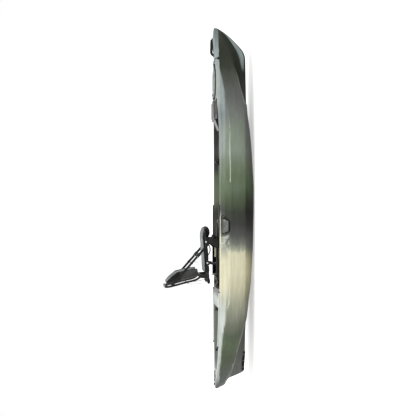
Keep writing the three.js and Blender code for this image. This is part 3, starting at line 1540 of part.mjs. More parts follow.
// Back pad: a curved shell with wings at both sides
const backPadLow = 9;
const backPadHigh = topTubeLevel - backTubeRadius;
const backPadOutside = 8;
const backPadWing = 112;
const backPadThickness = 34;
const backPadEdge = 15;
const backPadRear = -6;
const backPadReachShares = smoothCurve([[0, 0.84], [0.3, 0.97], [0.55, 1], [0.8, 0.74], [1, 0.4]]);
const backPadWidthShares = smoothCurve([[0, 0.955], [0.3, 1], [0.6, 0.99], [0.85, 0.93], [1, 0.8]]);
const backPadPlaceShares = [0, 0.02, 0.06, 0.18, 0.3, 0.31, 0.32, 0.45, 0.6, 0.72, 0.84, 0.93, 0.98, 1];
const backPadChannelShare = 0.31;
const backPadEndShare = 0.06;
const backPadLowShares = [0.45, 0.6];
const backPadWingPower = 2.6;
const backPadTaperPower = 1.5;
const backPadRearShares = [0, 0.25, 0.45, 0.62, 0.78, 0.9, 0.98];
const backPadFrontShares = [0.97, 0.88, 0.74, 0.58, 0.42, 0.24, 0];

function backPadSection(share) {
  const z = mix(backPadLow, backPadHigh, share);
  const round = Math.sqrt(Math.min(ramp(share, 0, backPadEndShare), ramp(share, 1, 1 - backPadEndShare)));
  const half = (railHalfSpan + backPadOutside) * backPadWidthShares(share);
  const reach = backPadWing * backPadReachShares(share);
  const channel = Math.abs(share - backPadChannelShare) < tiny ? padChannelDepth : 0;
  const [lowBody, lowEdge] = backPadLowShares;
  const thickness = mix(lowBody, 1, round) * backPadThickness - channel;
  const edge = mix(lowEdge, 1, round) * backPadEdge;
  const rearAt = (across) => backPadRear + (reach - backPadEdge) * across ** backPadWingPower;
  const thickAt = (across) => mix(thickness, edge, across ** backPadTaperPower);
  const rear = backPadRearShares.map((across) => [rearAt(across), half * across]);
  const tip = [rearAt(1) + edge / 2, half];
  const front = backPadFrontShares.map((across) => (
    [rearAt(across) + thickAt(across), half * across]
  ));
  const points = [...rear, tip, ...front];
  const port = points.map(([x, y]) => at(x, y, z));
  const starboard = points.slice(1, -1).reverse().map(([x, y]) => at(x, -y, z));
  return [...port, ...starboard];
}

addPiece(back, "back_pad", loft(backPadPlaceShares.map(backPadSection)), "fabric");

// Straps and cords of the seat: webbing from the rails to the backrest, and a cord behind it
const strapWidth = 28;
const strapThickness = 2.5;
const strapClear = 0.6;
const buckleShare = 0.36;
const buckleLength = 44;
const buckleWidth = 36;
const buckleThickness = 8;

function fromBack(x, z) {
  const run = at(-Math.sin(backLean), 0, Math.cos(backLean));
  const forward = at(Math.cos(backLean), 0, Math.sin(backLean));
  return hub.clone().addScaledVector(forward, x).addScaledVector(run, z);
}

function reclineStrap() {
  const low = onRail(-strapPegAlongRail);
  const high = fromBack(-backTubeOffset, strapPegUpBack);
  const run = high.clone().sub(low).normalize();
  const length = high.distanceTo(low);
  const margin = strapPegRadius + strapClear;
  const middle = (railHalfSpan + seatTubeRadius + strapPegOut) / 2;
  const web = spanBox(
    at(margin, -strapThickness / 2, -strapWidth / 2),
    at(length - margin, strapThickness / 2, strapWidth / 2),
  );
  const buckleAt = length * buckleShare;
  const buckle = spanBox(
    at(buckleAt - buckleLength / 2, -buckleThickness / 2, -buckleWidth / 2),
    at(buckleAt + buckleLength / 2, buckleThickness / 2, buckleWidth / 2),
  );
  const up = at(-run.z, 0, run.x);
  return framed(join(web, buckle), atY(low, middle), run, up);
}

addPair(seat, "recline_strap", reclineStrap(), "webbing");

// The cord's route is chosen by hand in the seat's own frame, behind the upright down to the rail. The middle
// value is the share of the way out from the upright to the rail
const backCordRadius = 2;
const backCordRoute = [
  [-386.4, 0, 283], [-391.6, 0.12, 262], [-393, 0.41, 205], [-385, 0.76, 150], [-376, 1, 112], [-373, 1, 90.2],
];
const backCordPoints = backCordRoute.map(([x, out, z]) => at(x, mix(backHalfSpan, railHalfSpan, out), z));
addPair(seat, "back_cord", tube(backCordPoints, backCordRadius, 8, 24), "webbing");

export default kayak;
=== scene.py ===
# %% [markdown]
# A sit-on-top fishing kayak with a folding frame seat. The hull is one hollow shell of rotomoulded
# polyethylene, so its colours are mixed in the powder and run along the boat in soft streaks.
# Everything here is in metres: +X points to the bow, +Y to port and +Z up, with the ground at zero.

# %% Load the fixed frame
import math

import bmesh
import bpy
import numpy as np
from mathutils import Matrix, Vector


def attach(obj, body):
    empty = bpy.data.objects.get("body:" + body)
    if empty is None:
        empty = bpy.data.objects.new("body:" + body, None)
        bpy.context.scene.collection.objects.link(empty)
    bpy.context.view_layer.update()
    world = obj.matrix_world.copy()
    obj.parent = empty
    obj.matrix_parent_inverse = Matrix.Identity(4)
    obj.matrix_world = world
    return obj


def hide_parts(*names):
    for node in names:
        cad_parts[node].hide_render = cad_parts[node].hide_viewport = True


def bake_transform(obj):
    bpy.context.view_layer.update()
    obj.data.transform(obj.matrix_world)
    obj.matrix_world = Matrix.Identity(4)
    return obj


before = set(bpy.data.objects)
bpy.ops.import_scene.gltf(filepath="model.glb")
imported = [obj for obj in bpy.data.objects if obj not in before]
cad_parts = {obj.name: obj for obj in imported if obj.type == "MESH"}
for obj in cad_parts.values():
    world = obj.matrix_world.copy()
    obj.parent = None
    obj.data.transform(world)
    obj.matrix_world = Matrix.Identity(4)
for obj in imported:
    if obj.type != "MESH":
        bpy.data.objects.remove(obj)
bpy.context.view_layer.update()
MM = 0.001
bpy.context.scene.view_settings.view_transform = "Standard"

# %% [markdown]
# The photograph is a side view from the starboard side, a few degrees above level, through a long
# lens. It was stored turned by a quarter, so the camera is rolled: the bow points up in the picture.

# %% Camera


def held(name, data):
    """A new object in the scene."""
    made = bpy.data.objects.new(name, data)
    bpy.context.scene.collection.objects.link(made)
    return made


PICTURE_WIDTH = 4.109
CAMERA_DISTANCE = 13.0
CAMERA_ELEVATION = math.radians(4)
AIM = Vector((0, 0, 0.428))

lift, level = math.sin(CAMERA_ELEVATION), math.cos(CAMERA_ELEVATION)
camera_data = bpy.data.cameras.new("camera")
camera_data.sensor_width = 36
camera_data.lens = camera_data.sensor_width * CAMERA_DISTANCE / PICTURE_WIDTH
camera = held("camera", camera_data)
bpy.context.scene.camera = camera
to_camera = Vector((0, -level, lift))
picture_right = Vector((0, -lift, -level))
picture_up = Vector((1, 0, 0))
turn = Matrix((picture_right, picture_up, to_camera)).transposed().to_4x4()
camera.matrix_world = Matrix.Translation(AIM + to_camera * CAMERA_DISTANCE) @ turn
camera_data.clip_end = 60
print("lens", round(camera_data.lens, 1), "mm")

# %% [markdown]
# Materials are built by one function that adds a node, sets its fields and joins its inputs.
# Colours are written as the sRGB hex values that a picture would show, and turned to linear here.

# %% Material helpers


def linear(hex_colour):
    """An sRGB hex colour as the linear RGBA that a shader wants."""
    parts = [int(hex_colour[i : i + 2], 16) / 255 for i in (0, 2, 4)]
    return tuple(c / 12.92 if c <= 0.04045 else ((c + 0.055) / 1.055) ** 2.4 for c in parts) + (1.0,)


def add(tree, kind, inputs=None, **settings):
    """Adds a node. inputs maps a socket's name or place to a value or to another node's socket."""
    made = tree.nodes.new(kind)
    for field, value in settings.items():
        setattr(made, field, value)
    for name, value in (inputs or {}).items():
        if isinstance(value, bpy.types.NodeSocket):
            tree.links.new(value, made.inputs[name])
        else:
            made.inputs[name].default_value = value
    return made


def material(name, **shader):
    """A new material with its shader, and the tree to build its pattern in."""
    made = bpy.data.materials.new(name)
    made.use_nodes = True
    tree = made.node_tree
    surface = tree.nodes["Principled BSDF"]
    for socket, value in shader.items():
        surface.inputs[socket.replace("_", " ")].default_value = value
    return made, tree, surface


def ramp(tree, factor, stops):
    """A colour ramp over hex colours or grey values, as pairs of place and colour."""
    made = add(tree, "ShaderNodeValToRGB", {0: factor})
    band = made.color_ramp
    while len(band.elements) < len(stops):
        band.elements.new(1.0)
    for element, (place, colour) in zip(band.elements, stops):
        element.position = place
        element.color = linear(colour) if isinstance(colour, str) else (colour, colour, colour, 1)
    return made.outputs[0]


def bump(tree, surface, height, distance, strength=1.0):
    """Joins a height pattern to the shader's normal; distance is its depth in metres."""
    made = add(tree, "ShaderNodeBump", {"Height": height, "Distance": distance, "Strength": strength})
    tree.links.new(made.outputs[0], surface.inputs["Normal"])


def in_place(tree):
    return add(tree, "ShaderNodeTexCoord").outputs["Object"]


def stretched(tree, scale):
    """Object coordinates squeezed or stretched on each axis."""
    return add(tree, "ShaderNodeMapping", {"Vector": in_place(tree), "Scale": scale}).outputs[0]


def noise(tree, place, scale, detail, roughness=0.5):
    given = {"Vector": place, "Scale": scale, "Detail": detail, "Roughness": roughness}
    return add(tree, "ShaderNodeTexNoise", given).outputs[0]


def ranged(tree, value, low, high, start=0.0, end=1.0):
    """A value between two limits, as its like between start and end."""
    limits = {"From Min": low, "From Max": high, "To Min": start, "To Max": end}
    return add(tree, "ShaderNodeMapRange", {"Value": value, **limits}).outputs[0]


def smooth_between(tree, value, low, high):
    """0 below low, 1 above high and smooth between them."""
    given = {"Value": value, "From Min": low, "From Max": high}
    return add(tree, "ShaderNodeMapRange", given, interpolation_type="SMOOTHSTEP").outputs[0]


def maths(tree, operation, *values):
    """One step of arithmetic on sockets and numbers."""
    return add(tree, "ShaderNodeMath", dict(enumerate(values)), operation=operation).outputs[0]


def blended(tree, factor, below, above):
    return add(tree, "ShaderNodeMix", {0: factor, 6: below, 7: above}, data_type="RGBA").outputs[2]


def times(tree, colour, tone):
    """A colour made darker or lighter by a grey value."""
    given = {0: 1.0, 6: colour, 7: tone}
    return add(tree, "ShaderNodeMix", given, data_type="RGBA", blend_type="MULTIPLY").outputs[2]


# %% [markdown]
# Rotomoulded polyethylene is melted powder. Where several colours go in the mould they melt into
# bands that follow the boat, with streaks a few centimetres wide. Painted shade darkens the keel and
# the wells, and painted highlights lie along the gunwale and the edges. The skin is waxy: rough enough
# to blur a reflection, and a little uneven like orange peel.

# %% Hull plastic


def streaked_polyethylene(name, heights, bands_of):
    """Bands of colour along X, in layers: keel, side, deck, rolled edge and the wells inside it. They are pigment,
    with painted shade in the keel and the wells and painted highlights on the edges.
    """
    made, tree, surface = material(name, Roughness=0.46, IOR=1.51, Specular_IOR_Level=0.14)
    place = in_place(tree)
    parts = add(tree, "ShaderNodeSeparateXYZ", {0: place})
    swirl = noise(tree, stretched(tree, (1.1, 3.2, 4.5)), 1.6, 3, 0.55)
    wander = noise(tree, stretched(tree, (2.2, 9, 14)), 2.4, 5, 0.6)
    shift = maths(tree, "SUBTRACT", swirl, 0.5)
    finer = maths(tree, "SUBTRACT", wander, 0.5)
    moved = maths(tree, "MULTIPLY_ADD", shift, 0.12, parts.outputs[0])
    moved = maths(tree, "MULTIPLY_ADD", finer, 0.09, moved)
    along = ranged(tree, moved, -HALF_LENGTH, HALF_LENGTH)
    height = maths(tree, "MULTIPLY_ADD", finer, 0.03, parts.outputs[2])

    def band(name):
        return ramp(tree, along, bands_of[name])

    def over(name):
        return maths(tree, "SUBTRACT", height, ramp(tree, along, heights[name]))

    # Below the keel's edge: pigment darkened with painted shade of the underside
    colour = blended(tree, smooth_between(tree, over("keel"), -0.012, 0.012), band("keel"), band("side"))
    colour = blended(tree, smooth_between(tree, over("deck"), -0.008, 0.012), colour, band("deck"))
    # The rolled edge, which carries a painted highlight along the gunwale behind the middle
    colour = blended(tree, smooth_between(tree, height, *LIP_LEVEL), colour, band("lip"))
    # Painted shade inside the rolled edge, where a surface faces up or across and not down
    across = maths(tree, "ABSOLUTE", parts.outputs[1])
    facing = add(tree, "ShaderNodeAttribute", attribute_name="facing").outputs["Fac"]
    within = maths(tree, "SUBTRACT", ramp(tree, along, heights["well"]), across)
    inside = smooth_between(tree, within, -0.004, 0.004)
    inside = maths(tree, "MULTIPLY", inside, smooth_between(tree, facing, -0.1, 0.0))
    colour = blended(tree, inside, colour, band("well"))
    outside = maths(tree, "SUBTRACT", 1.0, inside)
    # Painted highlights along the edges: the keel's crease and the rim of each side panel
    for layer, reach, painted_highlight in (("keel", 0.0045, "crease"), ("panel", 0.004, "panel")):
        far = smooth_between(tree, maths(tree, "ABSOLUTE", over(layer)), reach * 0.5, reach * 1.6)
        highlit = maths(tree, "MULTIPLY", maths(tree, "SUBTRACT", 1.0, far), band(painted_highlight))
        colour = blended(tree, maths(tree, "MULTIPLY", highlit, outside), colour, linear("D9DCD2"))
    # Blotches where two powders met in the mould
    blotch = noise(tree, stretched(tree, (1, 1.2, 1.6)), 21, 3, 0.6)
    blotch = maths(tree, "MULTIPLY", smooth_between(tree, blotch, 0.49, 0.55), band("blotch"))
    blotch = maths(tree, "MULTIPLY", blotch, smooth_between(tree, height, *BLOTCH_LEVEL))
    colour = blended(tree, maths(tree, "MULTIPLY", blotch, outside), colour, linear("C3C8BC"))
    # Streaks a few centimetres wide and half a metre long
    streak = noise(tree, stretched(tree, (1.6, 26, 26)), 1.5, 6, 0.62)
    tone = ranged(tree, streak, 0.3, 0.7, 0.88, 1.1)
    tinted = times(tree, colour, tone)
    # Pigment grains of 2 to 3 mm, drawn coarser than they are so that they show
    grain = noise(tree, place, 330, 2)
    speck = ranged(tree, grain, 0.35, 0.65, 0.93, 1.06)
    tree.links.new(times(tree, tinted, speck), surface.inputs["Base Color"])
    gloss = ranged(tree, streak, 0, 1, 0.38, 0.56)
    tree.links.new(gloss, surface.inputs["Roughness"])
    peel = noise(tree, place, 260, 2)
    bump(tree, surface, peel, 0.00035)
    return made


HALF_LENGTH = 1.778
# Heights in metres over which the rolled edge's colour and the blotches fade in
LIP_LEVEL, BLOTCH_LEVEL = (0.328, 0.335), (0.245, 0.262)


def bands(pairs):
    """Colours or heights at an X in metres, as places along the hull from 0 at the stern to 1 at the bow."""
    return [((x + HALF_LENGTH) / (2 * HALF_LENGTH), value) for x, value in pairs]


# The keel's colours, darker than the side's: partly pigment, partly painted shade of the underside
KEEL_PIGMENT_AND_SHADE = bands([
    (-1.75, "6F716E"), (-1.5, "7E807B"), (-1.3, "7A7C75"), (-1.16, "7E7F73"), (-1.08, "85857A"),
    (-0.99, "8C8D80"), (-0.87, "94957F"),
    (-0.75, "A8A588"), (-0.63, "BDB897"), (-0.5, "AFAC8C"), (-0.4, "666863"), (-0.28, "4E4F4B"), (-0.16, "282825"),
    (-0.04, "181813"), (0.08, "2F3427"), (0.2, "4A573F"), (0.43, "5D6553"), (0.56, "686B66"), (0.94, "666965"),
    (1.05, "5E605D"), (1.2, "40423C"), (1.32, "262A1F"), (1.72, "22261B"),
])
SIDE_BANDS = bands([
    (-1.75, "666965"), (-1.58, "5D6358"), (-1.46, "56604B"), (-1.34, "616E56"), (-1.22, "5F6757"), (-1.1, "7E8273"),
    (-0.99, "9B9D8B"), (-0.87, "B4B49E"), (-0.75, "CFCBAE"), (-0.63, "DEDABD"), (-0.51, "DCD9BC"),
    (-0.435, "DAD7BA"),
    (-0.405, "A9AC99"), (-0.35, "75786F"), (-0.277, "555653"), (-0.16, "3C3C3A"), (-0.04, "383D33"),
    (0.08, "4E5943"), (0.2, "62705A"),
    (0.32, "637058"), (0.435, "727E69"), (0.55, "858F82"), (0.67, "828C7D"), (0.79, "7E877A"), (0.91, "757A74"),
    (1.03, "6A6D6A"), (1.26, "4B4F46"), (1.38, "30362A"), (1.5, "252A1D"), (1.72, "262B1E"),
])
DECK_BANDS = bands([
    (-1.75, "6A6D69"), (-1.66, "B4BAB5"), (-1.56, "C8CEC8"), (-1.3, "CBD1CB"), (-1.1, "D2D8D3"), (-0.99, "C8CEC8"),
    (-0.87, "CBCCBA"), (-0.75, "E2DEC1"), (-0.51, "E2DEC0"), (-0.4, "A5A796"), (-0.28, "8C8E82"), (-0.16, "646663"),
    (-0.04, "484947"), (0.08, "5C6653"), (0.2, "66735B"), (0.32, "788471"), (0.435, "7F8A78"), (0.55, "98A098"),
    (0.67, "9DA6A3"), (0.79, "939C95"), (0.91, "848E8E"), (1.03, "949F9F"), (1.26, "8E9999"), (1.65, "96A2A2"),
    (1.75, "6E7977"),
])
# The rolled edge's own colour, with a painted highlight along the gunwale from about X -0.45 to -0.1 m
LIP_AND_HIGHLIGHT_BANDS = bands([
    (-1.75, "6A6D69"), (-1.66, "B4BAB5"), (-1.56, "C8CEC8"), (-1.1, "D2D8D3"), (-0.9, "D2D3C2"), (-0.75, "E6E2C6"),
    (-0.12, "DAD6BB"), (-0.07, "8A8B80"), (-0.02, "55574F"), (0.08, "69735F"), (0.32, "7C8775"), (0.55, "9AA29B"),
    (0.91, "8A9494"), (1.03, "A9AEA6"), (1.3, "A9AFA8"), (1.5, "96A2A2"), (1.75, "6E7977"),
])
# Colours inside the gunwales: the dark stops are painted shade on the walls of the cockpit, tankwell and console
# well, and the darkest, from X -0.84 to -0.735 m, a painted shadow behind the seat
WELL_SHADE_BANDS = bands([
    (-1.75, "6A6D69"), (-1.64, "B4BAB5"), (-1.58, "9CA19B"), (-1.5, "7B8079"), (-1.0, "7D8078"), (-0.9, "B9BEB8"),
    (-0.87, "B4B7AD"), (-0.84, "2A2D23"), (-0.735, "2A2D23"), (-0.69, "98957F"), (-0.6, "D2CEB2"),
    (-0.42, "C9C5AA"),
    (-0.35, "66675F"), (-0.26, "3A3B39"), (-0.04, "3E423A"), (0.06, "6C7462"), (0.2, "6E7A62"), (0.32, "66715C"),
    (0.4, "3F423B"), (0.46, "34362F"), (0.56, "4B4D48"), (0.64, "3A3B38"), (0.78, "2F302D"), (0.86, "6F7472"),
    (1.03, "949F9F"), (1.65, "96A2A2"), (1.75, "6E7977"),
])
DECK_EDGE = bands([
    (-1.74, 0.334), (-1.36, 0.318), (-1.22, 0.306), (-1.12, 0.292), (-0.96, 0.29), (-0.8, 0.268), (-0.45, 0.268),
    (-0.36, 0.29), (0.1, 0.296), (0.4, 0.288), (0.9, 0.285), (1.14, 0.288), (1.28, 0.316), (1.36, 0.336),
    (1.51, 0.346),
    (1.72, 0.352),
])
KEEL_EDGE = bands([
    (-1.75, 0.236), (-1.65, 0.216), (-1.5, 0.178), (-1.35, 0.142), (-1.16, 0.1), (-1.0, 0.093), (0.9, 0.093),
    (1.02, 0.087),
    (1.185, 0.12), (1.34, 0.16), (1.5, 0.21), (1.7, 0.31),
])
PANEL_EDGE = bands(
    [(-1.0, 0.285), (-0.955, 0.28), (-0.935, 0.26), (-0.74, 0.251), (0.25, 0.243), (0.9, 0.249), (1.0, 0.25)]
)
# How strongly the painted highlights on the keel's crease and the panel rims show at an X
CREASE_HIGHLIGHT = bands(
    [(-1.72, 0.3), (-1.5, 0.4), (-1.2, 0.35), (-1.12, 0.0), (1.0, 0.0), (1.08, 0.4), (1.24, 0.4), (1.36, 0.0)]
)
BLOTCHES = bands([(-0.45, 0.0), (-0.41, 0.85), (-0.29, 0.75), (-0.25, 0.0)])
PANEL_HIGHLIGHT = bands([
    (-0.98, 0.0), (-0.955, 0.5), (-0.93, 0.8), (-0.76, 0.75), (-0.735, 0.0), (0.25, 0.0), (0.262, 0.85),
    (0.285, 0.85),
    (0.3, 0.45), (0.6, 0.5), (0.78, 0.28), (0.9, 0.0),
])

# %% [markdown]
# The other finishes are few: glass-filled nylon for the moulded fittings, anodised aluminium for the
# tracks, powder coat on the seat's tubes, polyester webbing, and an open spacer mesh over foam.

# %% Fitting materials


def moulded_nylon(name, colour, rough=0.5, grain_size=0.0012):
    """Glass-filled nylon: near black, with the fine spark-eroded texture of its mould."""
    made, tree, surface = material(
        name, Base_Color=linear(colour), Roughness=rough, IOR=1.53, Specular_IOR_Level=0.22
    )
    place = in_place(tree)
    grain = noise(tree, place, 1 / grain_size, 3)
    patch = noise(tree, place, 26, 4)
    shade = ramp(tree, patch, [(0.3, colour), (0.72, lighter(colour, 1.5))])
    tree.links.new(shade, surface.inputs["Base Color"])
    dull = ranged(tree, patch, 0, 1, rough - 0.08, rough + 0.14)
    tree.links.new(dull, surface.inputs["Roughness"])
    bump(tree, surface, grain, 0.00012)
    return made


def lighter(hex_colour, factor):
    """The same hex colour, brighter by a factor."""
    return "".join(f"{min(255, int(int(hex_colour[i : i + 2], 16) * factor)):02X}" for i in (0, 2, 4))


def anodised_aluminium(name, colour):
    """Extruded and anodised: fine die lines along the length, and a soft metal sheen."""
    made, tree, surface = material(name, Base_Color=linear(colour), Roughness=0.34, Metallic=0.75)
    lines = noise(tree, stretched(tree, (2, 900, 900)), 1.0, 3)
    dull = ranged(tree, lines, 0, 1, 0.26, 0.5)
    tree.links.new(dull, surface.inputs["Roughness"])
    shade = ramp(tree, lines, [(0.3, colour), (0.8, lighter(colour, 1.35))])
    tree.links.new(shade, surface.inputs["Base Color"])
    bump(tree, surface, lines, 0.00005)
    return made


def powder_coat(name, colour):
    """Baked powder on aluminium tube: satin, with a faint orange peel of about 2 mm."""
    made, tree, surface = material(
        name, Base_Color=linear(colour), Roughness=0.36, IOR=1.5, Specular_IOR_Level=0.25
    )
    place = in_place(tree)
    peel = noise(tree, place, 520, 2)
    wear = noise(tree, place, 18, 5, 0.7)
    shade = ramp(tree, wear, [(0.35, colour), (0.75, lighter(colour, 1.9))])
    tree.links.new(shade, surface.inputs["Base Color"])
    dull = ranged(tree, wear, 0, 1, 0.28, 0.48)
    tree.links.new(dull, surface.inputs["Roughness"])
    bump(tree, surface, peel, 0.00008)
    return made


def spacer_mesh(name, thread, hole, pitch):
    """Knitted spacer mesh: rows of small hexagonal holes, with thread that catches the light."""
    made, tree, surface = material(
        name, Roughness=0.82, IOR=1.46, Specular_IOR_Level=0.2, Sheen_Weight=0.06, Sheen_Roughness=0.5
    )
    given = {"Vector": in_place(tree), "Scale": 1 / pitch, "Randomness": 0.25}
    cells = add(tree, "ShaderNodeTexVoronoi", given, feature="F1").outputs["Distance"]
    open_part = smooth_between(tree, cells, 0.22, 0.42)
    patch = noise(tree, in_place(tree), 9, 4)
    yarn = ramp(tree, patch, [(0.35, thread), (0.7, lighter(thread, 1.28))])
    tree.links.new(blended(tree, open_part, linear(hole), yarn), surface.inputs["Base Color"])
    bump(tree, surface, open_part, 0.0008)
    return made


def woven_webbing(name, colour, pitch=0.0022):
    """Polyester webbing: a tight herringbone weave that runs along the strap's own UV."""
    made, tree, surface = material(
        name, Base_Color=linear(colour), Roughness=0.72, IOR=1.5, Specular_IOR_Level=0.2, Sheen_Weight=0.05
    )
    place = add(tree, "ShaderNodeUVMap").outputs[0]
    across = add(tree, "ShaderNodeMapping", {"Vector": place, "Scale": (1, -1, 1)}).outputs[0]

    def threads(way, distortion):
        given = {"Vector": way, "Scale": 0.5 / pitch / 6.28, "Distortion": distortion}
        return add(tree, "ShaderNodeTexWave", given, bands_direction="DIAGONAL").outputs[0]

    weave = maths(tree, "MAXIMUM", threads(place, 0.4), threads(across, 0.0))
    shade = ramp(tree, weave, [(0.2, colour), (0.9, lighter(colour, 2.1))])
    tree.links.new(shade, surface.inputs["Base Color"])
    bump(tree, surface, weave, 0.0004)
    return made


nylon = moulded_nylon("glass-filled nylon", "121312")
nylon_grey = moulded_nylon("grey moulded nylon", "4A4D4B", 0.46)
rubber = moulded_nylon("moulded rubber", "101010", 0.72, 0.002)
panel_rubber = moulded_nylon("grey moulded rubber", "5C5F5D", 0.7, 0.002)
track_metal = anodised_aluminium("black anodised aluminium", "141516")
rail_metal = anodised_aluminium("grey anodised aluminium", "5E6365")
clear_metal = anodised_aluminium("clear anodised aluminium", "A4A9A6")
bolt_steel = anodised_aluminium("stainless steel", "A9ACAC")
tube_paint = powder_coat("satin powder coat", "0E0F0E")
seat_mesh = spacer_mesh("black spacer mesh", "1C1C1B", "060606", 0.0046)
# The black mesh made lighter: a painted highlight on the lit outer faces of the back pad
lit_black_mesh = spacer_mesh("black spacer mesh with painted highlight", "4E4F4E", "1C1C1C", 0.0046)
grey_mesh = spacer_mesh("grey spacer mesh", "7C817F", "2E302F", 0.0046)
edge_binding = woven_webbing("polyester edge binding", "0F0F0F", 0.0026)
strap_webbing = woven_webbing("polyester webbing", "101010", 0.003)
elastic_cord = woven_webbing("braided elastic cord", "1D1D1D", 0.0028)
grey_cord = woven_webbing("grey braided cord", "73787A", 0.0024)


def marbled_polyethylene(name, pale, dark, scale, veins_at):
    """Offcuts of the hull's powder melted together: soft marbling of dark and pale pigment."""
    made, tree, surface = material(name, Roughness=0.4, IOR=1.51)
    warp = add(
        tree, "ShaderNodeTexNoise", {"Vector": stretched(tree, (1, 1.6, 1)), "Scale": scale, "Detail": 4}
    ).outputs["Color"]
    veins = noise(tree, warp, 5.5, 5, 0.6)
    shade = ramp(tree, veins, list(zip(veins_at, (dark, lighter(dark, 1.5), pale))))
    tree.links.new(shade, surface.inputs["Base Color"])
    peel = noise(tree, in_place(tree), 240, 2)
    bump(tree, surface, peel, 0.0004)
    return made


lid_plastic = marbled_polyethylene("marbled grey polyethylene", "8D9391", "646966", 5.0, (0.4, 0.51, 0.6))
console_plastic = marbled_polyethylene("marbled dark polyethylene", "8A8E8B", "121312", 14.0, (0.46, 0.56, 0.64))

# %% [markdown]
# A white floor and soft lamps, as in a product studio. The lamps stay low enough that a colour
# renders about as it is written, and the white behind comes from what the camera sees alone.

# %% Floor, lamps and world


def studio_white(name, glow):
    """A white that still shows a shadow: most of it is lit, and the camera sees a little glow."""
    made, tree, surface = material(name, Base_Color=linear("F4F4F4"), Roughness=0.95)
    rays = add(tree, "ShaderNodeLightPath")
    seen = maths(tree, "MAXIMUM", rays.outputs["Is Camera Ray"], rays.outputs["Is Glossy Ray"])
    surface.inputs["Emission Color"].default_value = (1, 1, 1, 1)
    tree.links.new(maths(tree, "MULTIPLY", seen, glow), surface.inputs["Emission Strength"])
    return made


def flat_disc(name, radius):
    bm = bmesh.new()
    bmesh.ops.create_circle(bm, cap_ends=True, segments=96, radius=radius)
    mesh = bpy.data.meshes.new(name)
    bm.to_mesh(mesh)
    bm.free()
    return held(name, mesh)


FLOOR_RADIUS, FLOOR_GLOW, FILL_STRENGTH = 30, 0.5, 0.56

floor = flat_disc("floor", FLOOR_RADIUS)
floor.data.materials.append(studio_white("white studio floor", FLOOR_GLOW))

world = bpy.data.worlds.new("studio")
bpy.context.scene.world = world
world.use_nodes = True
sky = world.node_tree
rays = add(sky, "ShaderNodeLightPath")
seen = maths(sky, "MAXIMUM", rays.outputs["Is Camera Ray"], rays.outputs["Is Glossy Ray"])
seen = maths(sky, "MAXIMUM", seen, rays.outputs["Is Transmission Ray"])
fill = ranged(sky, seen, 0, 1, FILL_STRENGTH, 1.0)
backdrop = sky.nodes["Background"]
backdrop.inputs["Color"].default_value = (1, 1, 1, 1)
sky.links.new(fill, backdrop.inputs["Strength"])


def lamp(name, place, aim, size, power):
    data = bpy.data.lights.new(name, "AREA")
    data.shape, data.size, data.energy = "DISK", size, power
    made = held(name, data)
    made.location = place
    made.rotation_euler = (Vector(aim) - Vector(place)).to_track_quat("-Z", "Y").to_euler()


lamp("overhead softbox", (0.4, -1.2, 6.0), (0, 0, 0.2), 4.5, 165)
lamp("starboard softbox", (1.5, -6.5, 3.2), (0, 0, 0.3), 3.0, 104)
lamp("port softbox", (-1.5, 6.0, 3.6), (0, 0, 0.3), 3.0, 70)
print("studio ready:", len(bpy.data.lights), "lamps")

# %% [markdown]
# One small class collects the bits of a piece in a single mesh: beveled blocks and plates, rods,
# lofts through rings of points, and sweeps along a path. A beveled edge is what makes a moulded or
# machined part catch the light, so every block gets one.

# %% Shape helpers


def spline(points, count, closed=False):
    """count points on a smooth curve through the given ones, evenly spaced along it."""
    p = [Vector(q) for q in points]
    p = [p[-1], *p, p[0], p[1]] if closed else [2 * p[0] - p[1], *p, 2 * p[-1] - p[-2]]
    fine = []
    for a, b, c, d in zip(p, p[1:], p[2:], p[3:]):
        gaps = [max((q - r).length, 1e-9) ** 0.5 for q, r in ((b, a), (c, b), (d, c))]
        m1 = (b - a) / gaps[0] - (c - a) / (gaps[0] + gaps[1]) + (c - b) / gaps[1]
        m2 = (c - b) / gaps[1] - (d - b) / (gaps[1] + gaps[2]) + (d - c) / gaps[2]
        m1, m2 = m1 * gaps[1], m2 * gaps[1]
        for i in range(12):
            t = i / 12
            left = b * (1 + 2 * t) * (1 - t) ** 2 + m1 * t * (1 - t) ** 2
            fine.append(left + c * t * t * (3 - 2 * t) + m2 * t * t * (t - 1))
    fine.append(p[-2])
    steps = [0.0]
    for a, b in zip(fine, fine[1:]):
        steps.append(steps[-1] + (b - a).length)
    grid = np.linspace(0, steps[-1], count)
    flat = np.array([list(q) for q in fine])
    return [Vector(q) for q in zip(*(np.interp(grid, steps, flat[:, k]) for k in range(3)))]


def frames_along(path, side=None):
    """For each point of a path, the directions to its side and up, turned as little as possible."""
    out = []
    before = None
    for i, point in enumerate(path):
        ahead = (path[min(i + 1, len(path) - 1)] - path[max(i - 1, 0)]).normalized()
        if side is not None:
            across = Vector(side)
        elif before is None:
            across = Vector((0, 0, 1)) if abs(ahead.z) < 0.9 else Vector((1, 0, 0))
        else:
            across = before
        across = (across - ahead * across.dot(ahead)).normalized()
        before = across
        out.append((across, ahead.cross(across)))
    return out


def circle(radius, sides=24):
    turns = [2 * math.pi * i / sides for i in range(sides)]
    return [(radius * math.cos(a), radius * math.sin(a)) for a in turns]


def rounded_box(width, height, corner, steps=4):
    """A rectangle with round corners, as a list of pairs."""
    points = []
    for k, (sx, sy) in enumerate(((1, 1), (-1, 1), (-1, -1), (1, -1))):
        for i in range(steps + 1):
            angle = math.pi / 2 * (k + i / steps)
            x = sx * (width / 2 - corner) + corner * math.cos(angle)
            points.append((x, sy * (height / 2 - corner) + corner * math.sin(angle)))
    return points


def applied(made):
    """The object's mesh with its modifiers in it, and the object gone."""
    mesh = bpy.data.meshes.new_from_object(made.evaluated_get(bpy.context.evaluated_depsgraph_get()))
    bpy.data.objects.remove(made)
    return mesh


